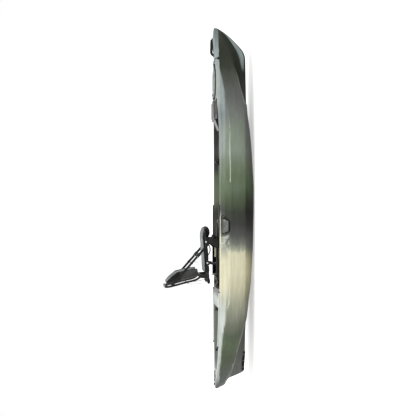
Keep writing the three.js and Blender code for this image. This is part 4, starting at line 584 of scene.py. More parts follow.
class Shape:
    """Collects the bits of one piece in one mesh, in millimetres unless told otherwise."""

    def __init__(self, unit=MM):
        self.bm = bmesh.new()
        self.unit = unit
        self.uv = self.bm.loops.layers.uv.new("UVMap")

    def add(self, points, faces, bevel=0.0, segments=2):
        verts = [self.bm.verts.new(p) for p in points]
        made = [self.bm.faces.new([verts[i] for i in face]) for face in faces]
        bmesh.ops.recalc_face_normals(self.bm, faces=made)
        if bevel:
            edges = {e for f in made for e in f.edges if e.is_manifold and e.calc_face_angle(0) > 0.5}
            bmesh.ops.bevel(
                self.bm, geom=list(edges), offset=bevel, segments=segments, profile=0.6, affect="EDGES",
                clamp_overlap=True
            )
        return made

    def loft(self, rings, bevel=0.0, closed=False, segments=2):
        """Skins a list of rings. The ends are capped unless the rings close on themselves."""
        count, points, faces = len(rings[0]), [p for ring in rings for p in ring], []
        spans = len(rings) if closed else len(rings) - 1
        for r in range(spans):
            s = (r + 1) % len(rings)
            for i in range(count):
                j = (i + 1) % count
                faces.append((r * count + i, r * count + j, s * count + j, s * count + i))
        if not closed:
            faces += [tuple(range(count))[::-1], tuple(range((len(rings) - 1) * count, len(rings) * count))]
        return self.add(points, faces, bevel, segments)

    def block(self, low, high, bevel=1.2, segments=2):
        (a, b, c), (d, e, f) = low, high
        rings = [[(a, b, z), (d, b, z), (d, e, z), (a, e, z)] for z in (c, f)]
        return self.loft(rings, bevel, segments=segments)

    def rod(self, start, end, radius, end_radius=None, sides=28, bevel=0.8):
        """A straight round bar between two points."""
        start, end = Vector(start), Vector(end)
        across, up = frames_along([start, end])[0]
        rings = [
            [p + across * x + up * y for x, y in circle(r, sides)]
            for p, r in ((start, radius), (end, end_radius or radius))
        ]
        return self.loft(rings, bevel)

    def sweep(self, path, outline, side=None, closed=False, sizes=None):
        """An outline swept along a path, with its length in U for the pattern of a cord or strap."""
        path = [Vector(p) for p in path]
        rings = []
        for i, (point, (across, up)) in enumerate(zip(path, frames_along(path, side))):
            size = sizes[i] if sizes else 1
            rings.append([point + across * (x * size) + up * (y * size) for x, y in outline])
        made = self.loft(rings, closed=closed)
        length, run = 0.0, [0.0]
        for a, b in zip(path, path[1:]):
            length += (b - a).length
            run.append(length)
        girth = [0.0]
        for (x, y), (u, v) in zip(outline, outline[1:] + outline[:1]):
            girth.append(girth[-1] + math.hypot(u - x, v - y))
        count = len(outline)
        for k, face in enumerate(made[: (len(path) - 1) * count]):
            r, i = divmod(k, count)
            spots = ((run[r], girth[i]), (run[r], girth[i + 1]), (run[r + 1], girth[i + 1]), (run[r + 1], girth[i]))
            where = dict(zip([tuple(round(c, 7) for c in p) for p in (
                rings[r][i], rings[r][(i + 1) % count], rings[r + 1][(i + 1) % count], rings[r + 1][i])], spots))
            for corner in face.loops:
                spot = where.get(tuple(round(c, 7) for c in corner.vert.co), (run[r], girth[i]))
                corner[self.uv].uv = [c * self.unit for c in spot]
        return made

    def plate(self, outline, frame_at, low, high, bevel=1.0):
        """A flat outline made thick: frame_at turns (a, b, thickness) into a point."""
        rings = [[frame_at(a, b, t) for a, b in outline] for t in (low, high)]
        return self.loft(rings, bevel)

    def turned(self, origin, axis, profile, sides=28):
        """A turned part: pairs of radius and height along an axis."""
        origin, axis = Vector(origin), Vector(axis).normalized()
        across, up = frames_along([origin, origin + axis])[0]
        rings = [[origin + axis * h + across * x + up * y for x, y in circle(r, sides)] for r, h in profile]
        return self.loft(rings)

    def moved(self, matrix):
        bmesh.ops.transform(self.bm, matrix=matrix, verts=self.bm.verts[:])
        return self

    def mesh(self, name):
        bmesh.ops.scale(self.bm, vec=(self.unit,) * 3, verts=self.bm.verts)
        made = bpy.data.meshes.new(name)
        self.bm.to_mesh(made)
        self.bm.free()
        return made

    def done(self, name, finish, body, replaces=()):
        """Makes the piece, in its place, riding on its body."""
        return piece(name, self.mesh(name), finish, body, replaces)


def piece(name, mesh, finish, body, replaces=(), angle=32):
    """An object of the kayak from its mesh: smooth but for edges sharper than the angle."""
    mesh.materials.clear()
    mesh.materials.append(finish)
    mesh.polygons.foreach_set("use_smooth", [True] * len(mesh.polygons))
    mesh.set_sharp_from_angle(angle=math.radians(angle))
    made = held(name, mesh)
    if body:
        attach(made, body)
    if replaces:
        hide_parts(*replaces)
    return made


def both_sides(build, name, finish, body, replaces=()):
    """The same piece to port and, mirrored, to starboard. build fills a Shape for the port side."""
    made = []
    for side, flip in (("left", False), ("right", True)):
        shape = Shape()
        build(shape)
        if flip:
            bmesh.ops.scale(shape.bm, vec=(1, -1, 1), verts=shape.bm.verts[:])
            bmesh.ops.reverse_faces(shape.bm, faces=shape.bm.faces[:])
        nodes = [f"{node}_{side}" for node in replaces]
        riding = body and body.replace("SIDE", side)
        made.append(shape.done(f"{name}_{side}", finish, riding, nodes))
    return made


def basis(origin, along, up):
    """A frame of its own for a piece: where its X and Z point, and where its origin lies."""
    along, up = Vector(along), Vector(up)
    turned = Matrix((along, up.cross(along), up)).transposed().to_4x4()
    return Matrix.Translation(origin) @ turned


def smooth_copy(node, width):
    """The CAD node's own faces, merged, with its edges rounded by a width in millimetres."""
    bm = bmesh.new()
    bm.from_mesh(bpy.data.objects[node].data)
    bmesh.ops.remove_doubles(bm, verts=bm.verts, dist=1e-6)
    bmesh.ops.dissolve_limit(bm, angle_limit=math.radians(1), verts=bm.verts, edges=bm.edges)
    edges = [e for e in bm.edges if e.is_manifold and e.calc_face_angle(0) > math.radians(30)]
    bmesh.ops.bevel(bm, geom=edges, offset=width * MM, segments=2, profile=0.6, affect="EDGES", clamp_overlap=True)
    made = bpy.data.meshes.new(node)
    bm.to_mesh(made)
    bm.free()
    return made


def from_solid(node, width, finish, body):
    """The piece that a solid shows as, when only its edges need rounding."""
    piece(node, smooth_copy(node, width), finish, body, [node])


def upright(x, z, y):
    """A side view's X and Z, with the depth across the boat, as a point."""
    return Vector((x, y, z))


def repeated(name, proto, spots, finish, body):
    """Copies of a small mesh at spots, each a place and the way its Z faces, made by Geometry Nodes."""
    points = bpy.data.meshes.new(name)
    points.from_pydata([Vector(place) * MM for place, _ in spots], [], [])
    facing = points.attributes.new("facing", "FLOAT_VECTOR", "POINT")
    facing.data.foreach_set("vector", [c for _, way in spots for c in Vector(way).normalized()])
    holder, source = held(name, points), held("copied piece", proto)
    tree = bpy.data.node_groups.new("copies on points", "GeometryNodeTree")
    for label, way, kind in (("Spots", "INPUT", "Geometry"), ("Piece", "INPUT", "Object"),
                             ("Finish", "INPUT", "Material"), ("Copies", "OUTPUT", "Geometry")):
        tree.interface.new_socket(label, in_out=way, socket_type="NodeSocket" + kind)
    start, end = tree.nodes.new("NodeGroupInput"), tree.nodes.new("NodeGroupOutput")
    info = add(tree, "GeometryNodeObjectInfo", {"Object": start.outputs["Piece"]})
    read = add(tree, "GeometryNodeInputNamedAttribute", {"Name": "facing"}, data_type="FLOAT_VECTOR")
    turn = add(tree, "FunctionNodeAlignRotationToVector", {"Vector": read.outputs[0]}, axis="Z")
    copies = add(tree, "GeometryNodeInstanceOnPoints", {
        "Points": start.outputs["Spots"], "Instance": info.outputs["Geometry"], "Rotation": turn.outputs[0],
    })
    real = add(tree, "GeometryNodeRealizeInstances", {0: copies.outputs[0]})
    painted = add(
        tree, "GeometryNodeSetMaterial", {"Geometry": real.outputs[0], "Material": start.outputs["Finish"]}
    )
    tree.links.new(painted.outputs[0], end.inputs[0])
    modifier = holder.modifiers.new("copies", "NODES")
    modifier.node_group = tree
    given = {"Piece": source, "Finish": finish}
    for socket in tree.interface.items_tree:
        if socket.name in given:
            modifier[socket.identifier] = given[socket.name]
    mesh = applied(holder)
    bpy.data.objects.remove(source)
    return piece(name, mesh, finish, body)


# %% [markdown]
# The hull is a loft. Its lines are smooth curves of height and width along the boat, as a naval
# architect draws them, and each section is a ring of points joined by small fillets. The CAD hull
# has the same lines with few faces; here there are enough for the light to run along them.

# %% Hull lines
HALF_BEAM, HULL_HEIGHT = 0.4445, 0.385


def smooth_curve(pairs):
    """A curve through pairs of place and value that never overshoots them."""
    x, y = (np.array(c, float) for c in zip(*pairs))
    chord = np.diff(y) / np.diff(x)
    a, b = chord[:-1], chord[1:]
    inner = np.where(a * b <= 0, 0.0, 2 * a * b / np.where(a + b == 0, 1, a + b))
    slope = np.concatenate([[chord[0]], inner, [chord[-1]]])

    def value(place):
        s = min(max(place, x[0]), x[-1])
        i = min(max(int(np.searchsorted(x, s)) - 1, 0), len(x) - 2)
        width = x[i + 1] - x[i]
        t = (s - x[i]) / width
        rise = y[i] * (1 + 2 * t) * (1 - t) ** 2 + y[i + 1] * t * t * (3 - 2 * t)
        return float(rise + width * (slope[i] * t * (1 - t) ** 2 - slope[i + 1] * t * t * (1 - t)))

    return value


KEEL_HEIGHT = smooth_curve([
    (-1, 0.86), (-0.994, 0.825), (-0.989, 0.75), (-0.978, 0.675), (-0.967, 0.652), (-0.944, 0.58),
    (-0.933, 0.455), (-0.912, 0.24), (-0.905, 0.195), (-0.87, 0.193), (-0.8, 0.167), (-0.7, 0.158),
    (-0.6, 0.135), (-0.5, 0.088), (-0.4, 0.05), (-0.3, 0.02), (-0.2, 0.005), (-0.12, 0), (0.12, 0),
    (0.2, 0.01), (0.3, 0.03), (0.4, 0.062), (0.5, 0.1), (0.57, 0.118), (0.58, 0.131), (0.7, 0.145),
    (0.822, 0.155), (0.833, 0.158), (0.867, 0.208), (0.9, 0.333), (0.933, 0.48), (0.967, 0.655), (1, 0.88),
])
KEEL_WIDTH = smooth_curve([
    (-1, 0.01), (-0.9, 0.035), (-0.7, 0.045), (-0.62, 0.07), (-0.5, 0.14), (-0.3, 0.3), (-0.1, 0.45),
    (0.1, 0.45), (0.3, 0.3), (0.5, 0.14), (0.57, 0.08), (0.585, 0.05), (0.8, 0.04), (0.9, 0.035), (1, 0.008),
])
FIN = smooth_curve([
    (-1, 1), (-0.65, 1), (-0.45, 0.2), (-0.3, 0), (0.3, 0), (0.5, 0.25), (0.57, 0.5), (0.6, 0.9), (0.65, 1), (1, 1),
])
EDGE_WIDTH = smooth_curve([
    (-1, 0.034), (-0.978, 0.068), (-0.956, 0.1), (-0.9, 0.215), (-0.8, 0.37), (-0.7, 0.485), (-0.6, 0.575),
    (-0.5, 0.63), (-0.4, 0.675), (-0.3, 0.697), (-0.1, 0.72), (0.1, 0.716), (0.2, 0.697), (0.3, 0.664),
    (0.4, 0.62), (0.5, 0.562), (0.59, 0.484), (0.68, 0.32), (0.773, 0.135), (0.833, 0.1), (0.885, 0.07),
    (0.933, 0.045), (0.967, 0.03), (1, 0.016),
])
EDGE_HEIGHT = smooth_curve([
    (-1, 0.875), (-0.989, 0.785), (-0.978, 0.705), (-0.967, 0.675), (-0.933, 0.6), (-0.9, 0.525), (-0.8, 0.412),
    (-0.7, 0.293), (-0.6, 0.188), (-0.5, 0.145), (-0.4, 0.1), (-0.3, 0.078), (-0.2, 0.055), (-0.1, 0.043),
    (0, 0.03), (0.1, 0.03), (0.2, 0.052), (0.3, 0.075), (0.4, 0.108), (0.5, 0.162), (0.59, 0.243),
    (0.68, 0.33), (0.773, 0.395), (0.833, 0.45), (0.885, 0.52), (0.933, 0.62), (0.967, 0.73), (1, 0.89),
])
SIDE_WIDTH = smooth_curve([
    (-1, 0.11), (-0.967, 0.214), (-0.933, 0.292), (-0.9, 0.382), (-0.85, 0.484), (-0.7, 0.742), (-0.51, 0.844),
    (-0.344, 0.9), (-0.2, 0.911), (0, 0.911), (0.2, 0.889), (0.32, 0.844), (0.433, 0.776), (0.5, 0.731),
    (0.6, 0.652), (0.75, 0.405), (0.885, 0.157), (0.967, 0.045), (1, 0.024),
])
SIDE_HEIGHT = smooth_curve([
    (-1, 0.885), (-0.989, 0.82), (-0.978, 0.77), (-0.956, 0.7), (-0.9, 0.625), (-0.85, 0.588), (-0.7, 0.463),
    (-0.51, 0.368), (-0.344, 0.295), (-0.2, 0.278), (0, 0.27), (0.2, 0.268), (0.32, 0.29), (0.433, 0.333),
    (0.5, 0.363), (0.6, 0.415), (0.75, 0.525), (0.885, 0.638), (0.967, 0.76), (1, 0.905),
])
RIDGE_WIDTH = smooth_curve([
    (-1, 0.135), (-0.989, 0.19), (-0.967, 0.28), (-0.93, 0.382), (-0.87, 0.53), (-0.8, 0.68), (-0.73, 0.795),
    (-0.6, 0.93), (-0.5, 0.967), (-0.3, 0.992), (-0.1, 1), (0.05, 1), (0.15, 0.994), (0.3, 0.967), (0.45, 0.893),
    (0.57, 0.787), (0.7, 0.596), (0.82, 0.405), (0.9, 0.285), (0.93, 0.236), (0.97, 0.145), (1, 0.05),
])
RIDGE_HEIGHT = smooth_curve([
    (-1, 0.9), (-0.989, 0.868), (-0.967, 0.847), (-0.93, 0.828), (-0.87, 0.785), (-0.8, 0.757), (-0.73, 0.742),
    (-0.6, 0.712), (-0.5, 0.645), (-0.3, 0.625), (0, 0.612), (0.15, 0.615), (0.3, 0.625), (0.45, 0.643),
    (0.57, 0.68), (0.7, 0.763), (0.82, 0.848), (0.93, 0.888), (1, 0.92),
])
GUNWALE_HEIGHT = smooth_curve([
    (-1, 0.93), (-0.9, 0.922), (-0.85, 0.912), (-0.7, 0.9), (-0.5, 0.89), (0.2, 0.89), (0.45, 0.902),
    (0.52, 0.918), (0.59, 0.9375), (0.81, 0.9375), (0.86, 0.95), (0.9, 0.962), (1, 0.965),
])
CROWN = smooth_curve([
    (-1, 0.003), (-0.9, 0.006), (-0.5, 0.008), (-0.4, 0), (0.59, 0), (0.81, 0), (0.86, 0.02), (0.92, 0.037),
    (0.97, 0.02), (1, 0),
])
FLOOR_HEIGHT = smooth_curve([(-0.45, 0.24), (0.3, 0.24), (0.42, 0.28), (0.5, 0.36), (0.6, 0.54)])
TANK_FLOOR = smooth_curve([(-0.9, 0.67), (-0.7, 0.59), (-0.54, 0.57)])
COCKPIT_FRONT, COCKPIT_REAR = (0.6, 0.575), (-0.445, -0.42)
LEDGE_FRONT = (-0.05, -0.066)
TANK_FRONT, TANK_REAR = (-0.545, -0.56), (-0.89, -0.872)
PANEL_SPANS = ((0.57, 0.15), (-0.3, -0.53))
PANEL_RUN, PANEL_DEPTH = 0.008, 0.004
LEDGE_LEVEL = 0.82 * HULL_HEIGHT

# %% [markdown]
# A section goes from the keel round the bilge to the ridge, up the leaning side panel, over the
# gunwale and down into the cockpit or tankwell. Moulded plastic has no knife edges, so each corner
# of the section is replaced by a short curve.

# %% Hull sections


def mix(a, b, share):
    return a + (b - a) * share


def share_of(x, start, end):
    return min(max((x - start) / (end - start), 0.0), 1.0)


def between(place, front, rear):
    return min(share_of(place, *front), share_of(place, *rear))


def gunwale(place):
    """Outer and inner half width of the gunwale, and its height."""
    outer = HALF_BEAM * RIDGE_WIDTH(place) * 0.91
    return outer, outer - min(0.048, outer * 0.3), HULL_HEIGHT * GUNWALE_HEIGHT(place)


def deck_points(place):
    """The deck from the gunwale's inner edge to the middle, as four points of Y and Z."""
    _, inner, top = gunwale(place)
    crown, level = HULL_HEIGHT * CROWN(place), HULL_HEIGHT * FLOOR_HEIGHT(place)
    tank_level = HULL_HEIGHT * TANK_FLOOR(place)
    lean, corner, tank_corner = 0.022, 0.034, 0.024
    half = min(0.23, inner - lean - 2 * corner)
    plain = [(inner * s, top + crown * (1 - s * s)) for s in (0.8, 0.55, 0.28, 0)]
    foot = [(inner - lean, mix(level, top, 0.45)), (half + corner, level + corner), (half, level), (0, level)]
    seat = [(inner - 0.01, LEDGE_LEVEL), (0.198, LEDGE_LEVEL), (0.186, level), (0, level)]
    tank_half = inner - lean
    tank = [
        (tank_half, tank_level + tank_corner),
        (tank_half - tank_corner, tank_level),
        (tank_half / 2, tank_level),
        (0, tank_level),
    ]
    cockpit = between(place, COCKPIT_FRONT, COCKPIT_REAR)
    on_seat = cockpit * share_of(place, *LEDGE_FRONT)
    on_tank = between(place, TANK_FRONT, TANK_REAR)
    weights = (1 - cockpit - on_tank, cockpit - on_seat, on_seat, on_tank)
    return [
        tuple(sum(w * shape[i][c] for w, shape in zip(weights, (plain, foot, seat, tank))) for c in (0, 1))
        for i in range(4)
    ]


def side_line(place, share, inset=0.0):
    """A point of the leaning side panel, between the ridge and the gunwale."""
    outer, _, top = gunwale(place)
    low = (HALF_BEAM * RIDGE_WIDTH(place), HULL_HEIGHT * RIDGE_HEIGHT(place))
    return (mix(low[0], outer, share) - inset, mix(low[1], top, share))


def filleted(points, radii, steps=4):
    """Each corner of a line replaced by a short curve; the first and last point stay."""
    out = [points[0]]
    for before, corner, after, radius in zip(points, points[1:], points[2:], radii):
        a, c, b = Vector(before), Vector(corner), Vector(after)
        reach_a = min(radius, (a - c).length * 0.45)
        reach_b = min(radius, (b - c).length * 0.45)
        start = c + (a - c).normalized() * reach_a if reach_a > 1e-7 else c
        end = c + (b - c).normalized() * reach_b if reach_b > 1e-7 else c
        for i in range(steps + 1):
            t = i / steps
            out.append(tuple(start * (1 - t) ** 2 + c * 2 * t * (1 - t) + end * t * t))
    out.append(points[-1])
    return out


def hull_section(place):
    """Half of the outer section, from the keel round to the middle of the deck."""
    keel = (HALF_BEAM * KEEL_WIDTH(place), HULL_HEIGHT * KEEL_HEIGHT(place))
    edge = (HALF_BEAM * EDGE_WIDTH(place), HULL_HEIGHT * EDGE_HEIGHT(place))
    fin = FIN(place)
    root = (mix(keel[0], edge[0], mix(0.5, 0.25, fin)), mix(keel[1], edge[1], mix(0.3, 0.8, fin)))
    bilge = (HALF_BEAM * SIDE_WIDTH(place), HULL_HEIGHT * SIDE_HEIGHT(place))
    ridge = side_line(place, 0)
    bottom = [(0, keel[1]), keel, root, edge, bilge, ridge]
    curve = spline([(0, y, z) for y, z in bottom[1:]], 26)
    lower = [(0, keel[1]), *[(p.y, p.z) for p in curve]]
    depth = PANEL_DEPTH * max(
        between(place, (front, front - PANEL_RUN), (rear, rear + PANEL_RUN)) for front, rear in PANEL_SPANS
    )
    outer, inner, top = gunwale(place)
    upper = [
        ridge,
        side_line(place, 0.16),
        side_line(place, 0.18, depth),
        side_line(place, 0.72, depth),
        side_line(place, 0.74),
        (outer, top),
        (inner, top),
        *deck_points(place),
    ]
    rounds = filleted([lower[-2], *upper], [0.006, 0.003, 0.003, 0.003, 0.003, 0.011, 0.009, 0.03, 0.012, 0.03])
    return lower[:-1] + rounds[1:]


def hull_stations(spacing):
    """Places along the hull, closer together at the ends and where a well or a panel starts."""
    places = set(np.round(np.linspace(-1, 1, int(2 * HALF_LENGTH / spacing) + 1), 5))
    steep = [COCKPIT_FRONT, COCKPIT_REAR, LEDGE_FRONT, TANK_FRONT, TANK_REAR, (0.57, 0.58)]
    steep += [(f, f - PANEL_RUN) for f, _ in PANEL_SPANS] + [(r, r + PANEL_RUN) for _, r in PANEL_SPANS]
    for a, b in steep:
        low, high = min(a, b), max(a, b)
        places = {p for p in places if not low - 0.002 < p < high + 0.002}
        places |= set(np.round(np.linspace(low, high, 7), 5)) | {round(low - 0.002, 5), round(high + 0.002, 5)}
    places |= {s * p for s in (-1, 1) for p in (0.9985, 0.997, 0.995, 0.992, 0.9885)}
    return sorted(places)


def ring_at(place, section):
    """A whole ring from half a section. The last few millimetres at bow and stern are drawn in."""
    x = place * HALF_LENGTH
    port = [Vector((x, y, z)) for y, z in section]
    ring = port + [Vector((x, -p.y, p.z)) for p in port[-2:0:-1]]
    tip = share_of(abs(place), 0.9965, 1.0)
    if tip > 0:
        centre = sum(ring, Vector()) / len(ring)
        size = math.sqrt(max(1 - tip * tip, 0.02))
        ring = [centre + (p - centre) * size for p in ring]
        ring = [Vector((x, p.y, p.z)) for p in ring]
    return ring


def loft_mesh(name, rings):
    shape = Shape(1)
    shape.loft(rings)
    return shape.mesh(name)


stations = hull_stations(0.013)
hull_mesh = loft_mesh("hull_shell", [ring_at(p, hull_section(p)) for p in stations])
print("hull skin:", len(stations), "stations,", len(hull_mesh.polygons), "faces")

# %% [markdown]
# The holes are cut with solid tools: the room inside, the hatch, the scuppers that drain the deck,
# the scoops under the carry handles and the pocket behind each side handle. Each tool flares out a
# little at the surface, which leaves the soft rim that a moulded recess has.

# %% Cutting tools
WALL = 0.006
HATCH_X, HATCH_LENGTH, HATCH_WIDTH = 0.694 * HALF_LENGTH, 0.25, 0.236
SCUPPERS = [(0.2, 0.34), (-0.37, 0.3), (-0.74, 0.28)]
SIDE_HANDLE_PLACE = -0.0973
HANDLES = {"bow": (0.891, 0.190), "stern": (-0.933, 0.116)}
DRAIN_X = -1.7379


def inner_section(place):
    """The room inside, one wall within the skin."""
    reach = WALL * 1.2 / HALF_LENGTH
    near = [place - reach, place, place + reach]
    decks = [deck_points(p) for p in near]
    rims = [gunwale(p) for p in near]
    top = min(r[2] for r in rims) - WALL
    rows = []
    for width, height in ((EDGE_WIDTH, EDGE_HEIGHT), (SIDE_WIDTH, SIDE_HEIGHT)):
        rows.append((
            min(HALF_BEAM * width(p) for p in near) - WALL * 1.3,
            max(HULL_HEIGHT * height(p) for p in near) + WALL * 1.3,
        ))
    keel_top = mix(HULL_HEIGHT * KEEL_HEIGHT(place), HULL_HEIGHT * EDGE_HEIGHT(place), mix(0.3, 0.8, FIN(place)))
    rows = [(0, max(keel_top, rows[0][1] - 0.004) + WALL), *rows]
    rows.append((HALF_BEAM * min(RIDGE_WIDTH(p) for p in near) - WALL - 0.006, HULL_HEIGHT * RIDGE_HEIGHT(place)))
    rows.append((min(r[0] for r in rims) - WALL - 0.008, top))
    rows.append((max(r[1] for r in rims) + WALL, top))
    for i in range(4):
        rows.append((
            0 if i == 3 else max(d[i][0] for d in decks) + WALL,
            min(d[i][1] for d in decks) - WALL - 0.003,
        ))
    return rows


def oval(length, width, count=72):
    """An oval with flattened sides, as pairs of X and Y."""
    out = []
    for i in range(count):
        c, s = math.cos(2 * math.pi * i / count), math.sin(2 * math.pi * i / count)
        x = math.copysign(abs(c) ** (2 / 2.8), c) * length / 2
        out.append((x, math.copysign(abs(s) ** (2 / 2.8), s) * width / 2))
    return out


def side_frame(side, place):
    """A frame on the side panel: its origin at the ridge, then along the hull, up the side and out."""
    low, high = side_line(place, 0), side_line(place, 1)
    origin = Vector((place * HALF_LENGTH, side * low[0], low[1]))
    up = (Vector((place * HALF_LENGTH, side * high[0], high[1])) - origin)
    reach = up.length
    up.normalize()
    along = Vector((1, 0, 0))
    return origin, along, up, along.cross(up) * -side, reach


def pocket_outline(grow):
    """The recess behind a side handle: wide at the top, narrow at the bottom, with round corners."""
    reach = side_frame(1, SIDE_HANDLE_PLACE)[4]
    half, low, middle, high = 0.102, 0.1 * reach, 0.58 * reach, 0.93 * reach
    corners = [(-0.051, low), (0.051, low), (half, middle), (half, high), (-half, high), (-half, middle)]
    loop = [corners[-1], *corners, corners[0]]
    soft = filleted(loop, [0.014] * 6, 5)[1:-1]
    centre = Vector((0, (low + high) / 2))
    return [tuple(Vector(p) + (Vector(p) - centre).normalized() * grow) for p in soft]


def pocket(side, grow):
    origin, along, up, out, _ = side_frame(side, SIDE_HANDLE_PLACE)
    shape = Shape(1)
    if grow:
        levels = [(-0.021 - grow, grow), (0.004, grow)]
    else:
        levels = [(-0.021, -0.004), (-0.019, 0.0), (-0.004, 0.0), (0.0, 0.003), (0.010, 0.006)]
    shape.loft([[origin + along * a + up * u + out * level for a, u in pocket_outline(g)] for level, g in levels])
    return shape


def scoop(handle, grow):
    place, length = HANDLES[handle]
    x, deck = place * HALF_LENGTH, deck_points(place)[3][1]
    half, depth = length / 2 - 0.035, 0.024
    radius = (half * half + depth * depth) / (2 * depth)
    shape = Shape(1)
    wide = 0.046 + grow
    middle = deck - depth + radius
    shape.loft([
        [Vector((x + c, y, middle + s)) for c, s in circle(radius + grow - inset, 96)]
        for y, inset in ((-wide, 0.006), (-wide + 0.006, 0.0), (wide - 0.006, 0.0), (wide, 0.006))
    ])
    return shape


def well_hole(x, y, radius, rim_levels, low, high):
    """A vertical hole with a flared rim at each of its mouths."""
    shape = Shape(1)
    rings = [(low, radius)]
    for level, flare in rim_levels:
        rings += [(level - 0.006 * flare, radius), (level, radius + 0.004), (level + 0.006 * flare, radius + 0.004)]
    rings.append((high, radius))
    rings.sort(key=lambda pair: pair[0])
    shape.loft([[Vector((x + c, y + s, z)) for c, s in circle(r, 32)] for z, r in rings])
    return shape


def hatch_tool():
    shape = Shape(1)
    deck = gunwale(0.694)[2]
    levels = [(deck - 0.02, 0.0), (deck - 0.004, 0.0), (deck, 0.003), (deck + 0.01, 0.006)]
    shape.loft([
        [Vector((HATCH_X + x, y, z)) for x, y in oval(HATCH_LENGTH + 2 * g, HATCH_WIDTH + 2 * g)] for z, g in levels
    ])
    return shape


def cut_all(mesh, shapes):
    """Cuts closed shapes from a mesh with the exact manifold solver, and gives back a plain mesh."""
    target = held("being cut", mesh)
    tools = []
    for shape in shapes:
        tool = held("tool", shape.mesh("tool") if isinstance(shape, Shape) else shape)
        cutter = target.modifiers.new("cut", "BOOLEAN")
        cutter.object, cutter.operation, cutter.solver = tool, "DIFFERENCE", "MANIFOLD"
        tools.append(tool)
    made = applied(target)
    for tool in tools:
        bpy.data.objects.remove(tool)
    return made


# %% Cut the hull
scupper_spots = [(p * HALF_LENGTH, side * a * HALF_BEAM) for p, a in SCUPPERS for side in (1, -1)]
inner_places = [p for p in hull_stations(0.045) if -0.985 <= p <= 0.93]
room = loft_mesh("room", [
    [Vector((p * HALF_LENGTH, y, z)) for y, z in section]
    + [Vector((p * HALF_LENGTH, -y, z)) for y, z in section[-2:0:-1]]
    for p, section in ((p, inner_section(p)) for p in inner_places)
])
walls = [well_hole(x, y, 0.022, [], -0.02, 0.4) for x, y in scupper_spots]
walls += [pocket(side, WALL) for side in (1, -1)] + [scoop(handle, WALL) for handle in HANDLES]
room = cut_all(room, walls)
holes = [room]
for (x, y), place in zip(scupper_spots, [p for p, _ in SCUPPERS for _ in (0, 1)]):
    level = deck_points(place)[2][1]
    holes.append(well_hole(x, y, 0.016, [(level, 1)], -0.02, 0.4))
holes += [pocket(side, 0) for side in (1, -1)] + [scoop(handle, 0) for handle in HANDLES]
holes += [hatch_tool(), well_hole(DRAIN_X, 0, 0.011, [], 0.34, 0.4)]
hull_mesh = cut_all(hull_mesh, holes)
# How far each point of the skin faces up, which the painted shade in the wells is laid out by
facing = hull_mesh.attributes.new("facing", "FLOAT", "POINT")
facing.data.foreach_set("value", [v.normal.z for v in hull_mesh.vertices])
WELL_EDGE = bands([(x, sum(gunwale(x / HALF_LENGTH)[:2]) / 2) for x in np.linspace(-1.72, 1.72, 28)])
hull_plastic = streaked_polyethylene(
    "rotomoulded polyethylene",
    {"keel": KEEL_EDGE, "deck": DECK_EDGE, "panel": PANEL_EDGE, "well": WELL_EDGE},
    {
        "keel": KEEL_PIGMENT_AND_SHADE, "side": SIDE_BANDS, "deck": DECK_BANDS, "lip": LIP_AND_HIGHLIGHT_BANDS, "well": WELL_SHADE_BANDS,
        "crease": CREASE_HIGHLIGHT, "panel": PANEL_HIGHLIGHT, "blotch": BLOTCHES,
    },
)
piece("hull", hull_mesh, hull_plastic, "hull", ["hull_shell"], 30)
print("hull:", len(hull_mesh.polygons), "faces after the cuts")

# %% [markdown]
# The fittings are bolted or screwed to the hull. From here on sizes are in millimetres, as on a
# drawing, and each piece sits where the solid of the same name sits.

# %% Screws and small helpers


def height_at(x):
    """The height of the hull's middle line at an X."""
    return deck_points(x * MM / HALF_LENGTH)[3][1] / MM


def gunwale_at(x):
    """The middle of the gunwale to port at an X, and its height."""
    outer, inner, top = gunwale(x * MM / HALF_LENGTH)
    return (outer + inner) / 2 / MM, top / MM


def ribbed(path, swell, depth, pitch, plain):
    """Sizes along a path for a grip: a swelling in the middle and finger ridges away from the ends."""
    length = (path[-1] - path[0]).length
    sizes = []
    for point in path:
        run = (point - path[0]).length
        share = run / length
        ridges = 0 if min(run, length - run) < plain else depth * abs(math.sin(math.pi * run / pitch)) ** 0.6
        sizes.append(1 + swell * math.sin(math.pi * share) ** 2 - depth + ridges)
    return sizes


# A pan head with a socket, copied wherever a fitting is screwed down
screw = Shape()
screw.turned((0, 0, 0), (0, 0, 1), [(3.6, -0.4), (3.6, 0.7), (2.8, 1.7), (1.8, 1.9), (1.5, 0.9)], 12)
screw_mesh = screw.mesh("pan head screw")
hull_screws = []

# %% [markdown]
# A carry handle is one moulded bar: it rises from a round foot at each end, swells a little in the
# middle and has finger ridges, so it is a sweep whose section changes along the way.

# %% Carry handles
FOOT_RADIUS, FOOT_HEIGHT = 15, 8


def carry_handle(name, middle, length, rise, radius):
    half = length / 2 - FOOT_RADIUS
    top = height_at(middle) + rise - radius * 1.25
    feet = [Vector((middle + s * half, 0, height_at(middle + s * half))) for s in (-1, 1)]
    shoulder = 0.7 * half
    path = spline([
        feet[0] + Vector((0, 0, FOOT_HEIGHT - 3)), (middle - shoulder, 0, top), (middle, 0, top),
        (middle + shoulder, 0, top), feet[1] + Vector((0, 0, FOOT_HEIGHT - 3)),
    ], 110)
    shape = Shape()
    oval_bar = [(x * 0.9, y * 1.25) for x, y in circle(radius * 0.94, 24)]
    shape.sweep(path, oval_bar, side=(0, 1, 0), sizes=ribbed(path, 0.1, 0.05, 9, length * 0.24))
    for foot in feet:
        rings = [(FOOT_RADIUS - 1, 0.3), (FOOT_RADIUS, 1.5), (FOOT_RADIUS - 0.5, 4), (FOOT_RADIUS - 4, FOOT_HEIGHT)]
        shape.turned(foot, (0, 0, 1), rings, 32)
        hull_screws.extend(((foot.x, s * (FOOT_RADIUS - 3.7), foot.z + 4.4), (0, s * 0.4, 1)) for s in (-1, 1))
    shape.done(name, nylon, "hull", [name])


carry_handle("bow_handle", 1584.2, 190, 25, 11)
carry_handle("stern_handle", -1658.9, 116, 9, 7)
print("carry handles ready")

